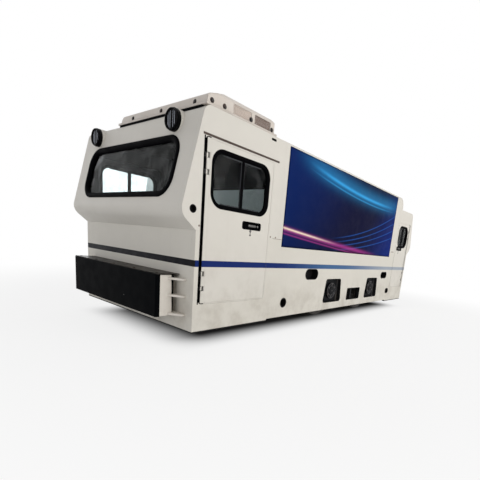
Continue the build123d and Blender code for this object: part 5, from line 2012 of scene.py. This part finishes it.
@dataclass
class Studio:
    """Pale floor with a shadow painted under the locomotive, white surroundings and soft lamps."""

    floor_half: float = 14.0
    key_power: float = 230.0
    fill_power: float = 44.0
    far_power: float = 90.0
    ambient: float = 0.45
    floor_tone: Rgba = (0.86, 0.86, 0.86, 1.0)
    floor_fade: Spot = (2.2, 4.5)
    floor_white: float = 0.80
    # Colour and reach of the shadow painted on the floor under the locomotive.
    under_tone: Rgba = (0.10, 0.10, 0.10, 1.0)
    under_x: Spot = (1.85, 1.45)
    under_y: Spot = (0.72, 0.42)

    def seen(self, g: Graph) -> NodeSocket:
        """Return a mask of rays that show the background, straight or in gloss or glass."""
        path = g.add("ShaderNodeLightPath").outputs
        seen = g.plus(path["Is Camera Ray"], path["Is Glossy Ray"])
        return g.plus(seen, path["Is Transmission Ray"], clamp=True)

    def world(self) -> None:
        """Make a world that lights softly and looks white."""
        world = bpy.data.worlds.new("studio air")
        world.use_nodes = True
        g = Graph(world.node_tree)
        back = world.node_tree.nodes["Background"]
        g.feed(back.inputs["Strength"], g.remap(self.seen(g), 0.0, 1.0, self.ambient, 1.0))
        back.inputs["Color"].default_value = (1, 1, 1, 1)
        bpy.context.scene.world = world

    def floor(self) -> None:
        """Make the floor, which keeps the object's shadow but looks near white, with a dark shadow
        painted on it under the locomotive.
        """
        made = bpy.data.materials.new("studio floor")
        made.use_nodes = True
        made.node_tree.nodes.clear()
        g = Graph(made.node_tree)
        lit = g.add("ShaderNodeBsdfDiffuse")
        white = g.call("ShaderNodeEmission", feeds={"Color": (1, 1, 1, 1), "Strength": 1.0})
        mix = g.add("ShaderNodeMixShader")
        away = g.call("ShaderNodeVectorMath", 1, {0: g.place()}, operation="LENGTH")
        fade = g.remap(away, *self.floor_fade, self.floor_white, 1.0)
        across, deep, _up = g.axes(g.place())
        under = g.mul(g.remap(g.calc("ABSOLUTE", across), *self.under_x),
                       g.remap(g.calc("ABSOLUTE", deep), *self.under_y))
        fade = g.mul(fade, g.minus(1.0, under))
        g.feed(mix.inputs[0], g.mul(self.seen(g), fade))
        # Under the locomotive the floor's colour goes dark: a painted shadow.
        g.feed(lit.inputs["Color"], g.blend(under, self.floor_tone, self.under_tone))
        g.feed(mix.inputs[1], lit.outputs[0])
        g.feed(mix.inputs[2], white)
        g.feed(g.add("ShaderNodeOutputMaterial").inputs[0], mix.outputs[0])
        half = self.floor_half
        mesh = bpy.data.meshes.new("floor")
        mesh.from_pydata([(-half, -half, 0), (half, -half, 0), (half, half, 0), (-half, half, 0)],
                         [], [(0, 1, 2, 3)])
        mesh.materials.append(made)
        new_object("floor", mesh)

    def lamp(self, name: str, spot: Vector, aim: Vector, size: Spot, power: float,
             colour: tuple[float, float, float]) -> None:
        """Hang one soft area lamp.

        Args:
            name: Name of the lamp.
            spot: Where it hangs.
            aim: What it points at.
            size: Width and height of its face.
            power: Power in watts.
            colour: Its colour.
        """
        light = bpy.data.lights.new(name, "AREA")
        light.shape, light.size, light.size_y = "RECTANGLE", *size
        light.energy, light.color = power, colour
        lamp = new_object(name, light)
        lamp.location = spot
        lamp.rotation_euler = (aim - spot).to_track_quat("-Z", "Y").to_euler()

    def build(self) -> None:
        """Set up floor, world, lamps and plain colour handling."""
        self.world()
        self.floor()
        self.lamp("side light", Vector((-0.6, 6.5, 2.6)), Vector((0, 0, 0.8)), (6.0, 3.5),
                  self.key_power, (1.0, 0.985, 0.955))
        self.lamp("far side light", Vector((0.6, -6.5, 2.2)), Vector((0, 0, 0.8)), (6.0, 3.0),
                  self.far_power, (0.96, 0.97, 1.0))
        self.lamp("end light", Vector((7.0, 1.2, 0.9)), Vector((0, 0, 0.8)), (4.0, 1.7),
                  self.fill_power, (0.95, 0.96, 1.0))
        bpy.context.scene.view_settings.view_transform = "Standard"


@dataclass
class Viewpoint:
    """The camera that sees the locomotive as the picture does."""

    spot: Vector = field(default_factory=lambda: Vector((2.942, 2.251, 0.656)))
    lens: float = 25.6
    shift: Spot = (-0.0833, 0.1625)
    yaw: float = 37.52
    pitch: float = -12.03
    roll: float = 5.72

    def build(self) -> None:
        """Make the camera and set it as the scene's."""
        yaw, pitch, roll = (math.radians(a) for a in (self.yaw, self.pitch, self.roll))
        ahead = Vector((-math.cos(pitch) * math.cos(yaw), -math.cos(pitch) * math.sin(yaw),
                        math.sin(pitch)))
        level = ahead.cross(Vector((0, 0, 1))).normalized()
        rise = level.cross(ahead)
        right = level * math.cos(roll) + rise * math.sin(roll)
        up = rise * math.cos(roll) - level * math.sin(roll)
        data = bpy.data.cameras.new("viewpoint")
        data.lens, data.sensor_width = self.lens, 36.0
        data.shift_x, data.shift_y = self.shift
        data.clip_end = 100.0
        camera = new_object("viewpoint", data)
        turn = Matrix((right, up, -ahead)).transposed().to_4x4()
        camera.matrix_world = Matrix.Translation(self.spot) @ turn
        bpy.context.scene.camera = camera


def main() -> None:
    """Build the scene."""
    logging.basicConfig(level=logging.INFO, format="%(message)s")
    Studio().build()
    Viewpoint().build()
    dress_nodes(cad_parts)
    for plan in (FRONT_CAB, REAR_CAB):
        Windscreen(plan).build()
        Headlamps(plan).build()
        for side in Side:
            DoorTrim(plan, side).build()
        BumperTrim(plan.end).build()
    Cooler().build()
    AxleCovers().build()
    SideTrim().build()
    RoofTrim().build()
    for side in Side:
        HoodBanner(side).build()
    cushions = [Seat(plan).build() for plan in (FRONT_CAB, REAR_CAB)]
    DeskGear(FRONT_CAB).build()
    DeskGear(REAR_CAB, long=0.070).build()
    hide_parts("seats")


if __name__ == "__main__":
    main()
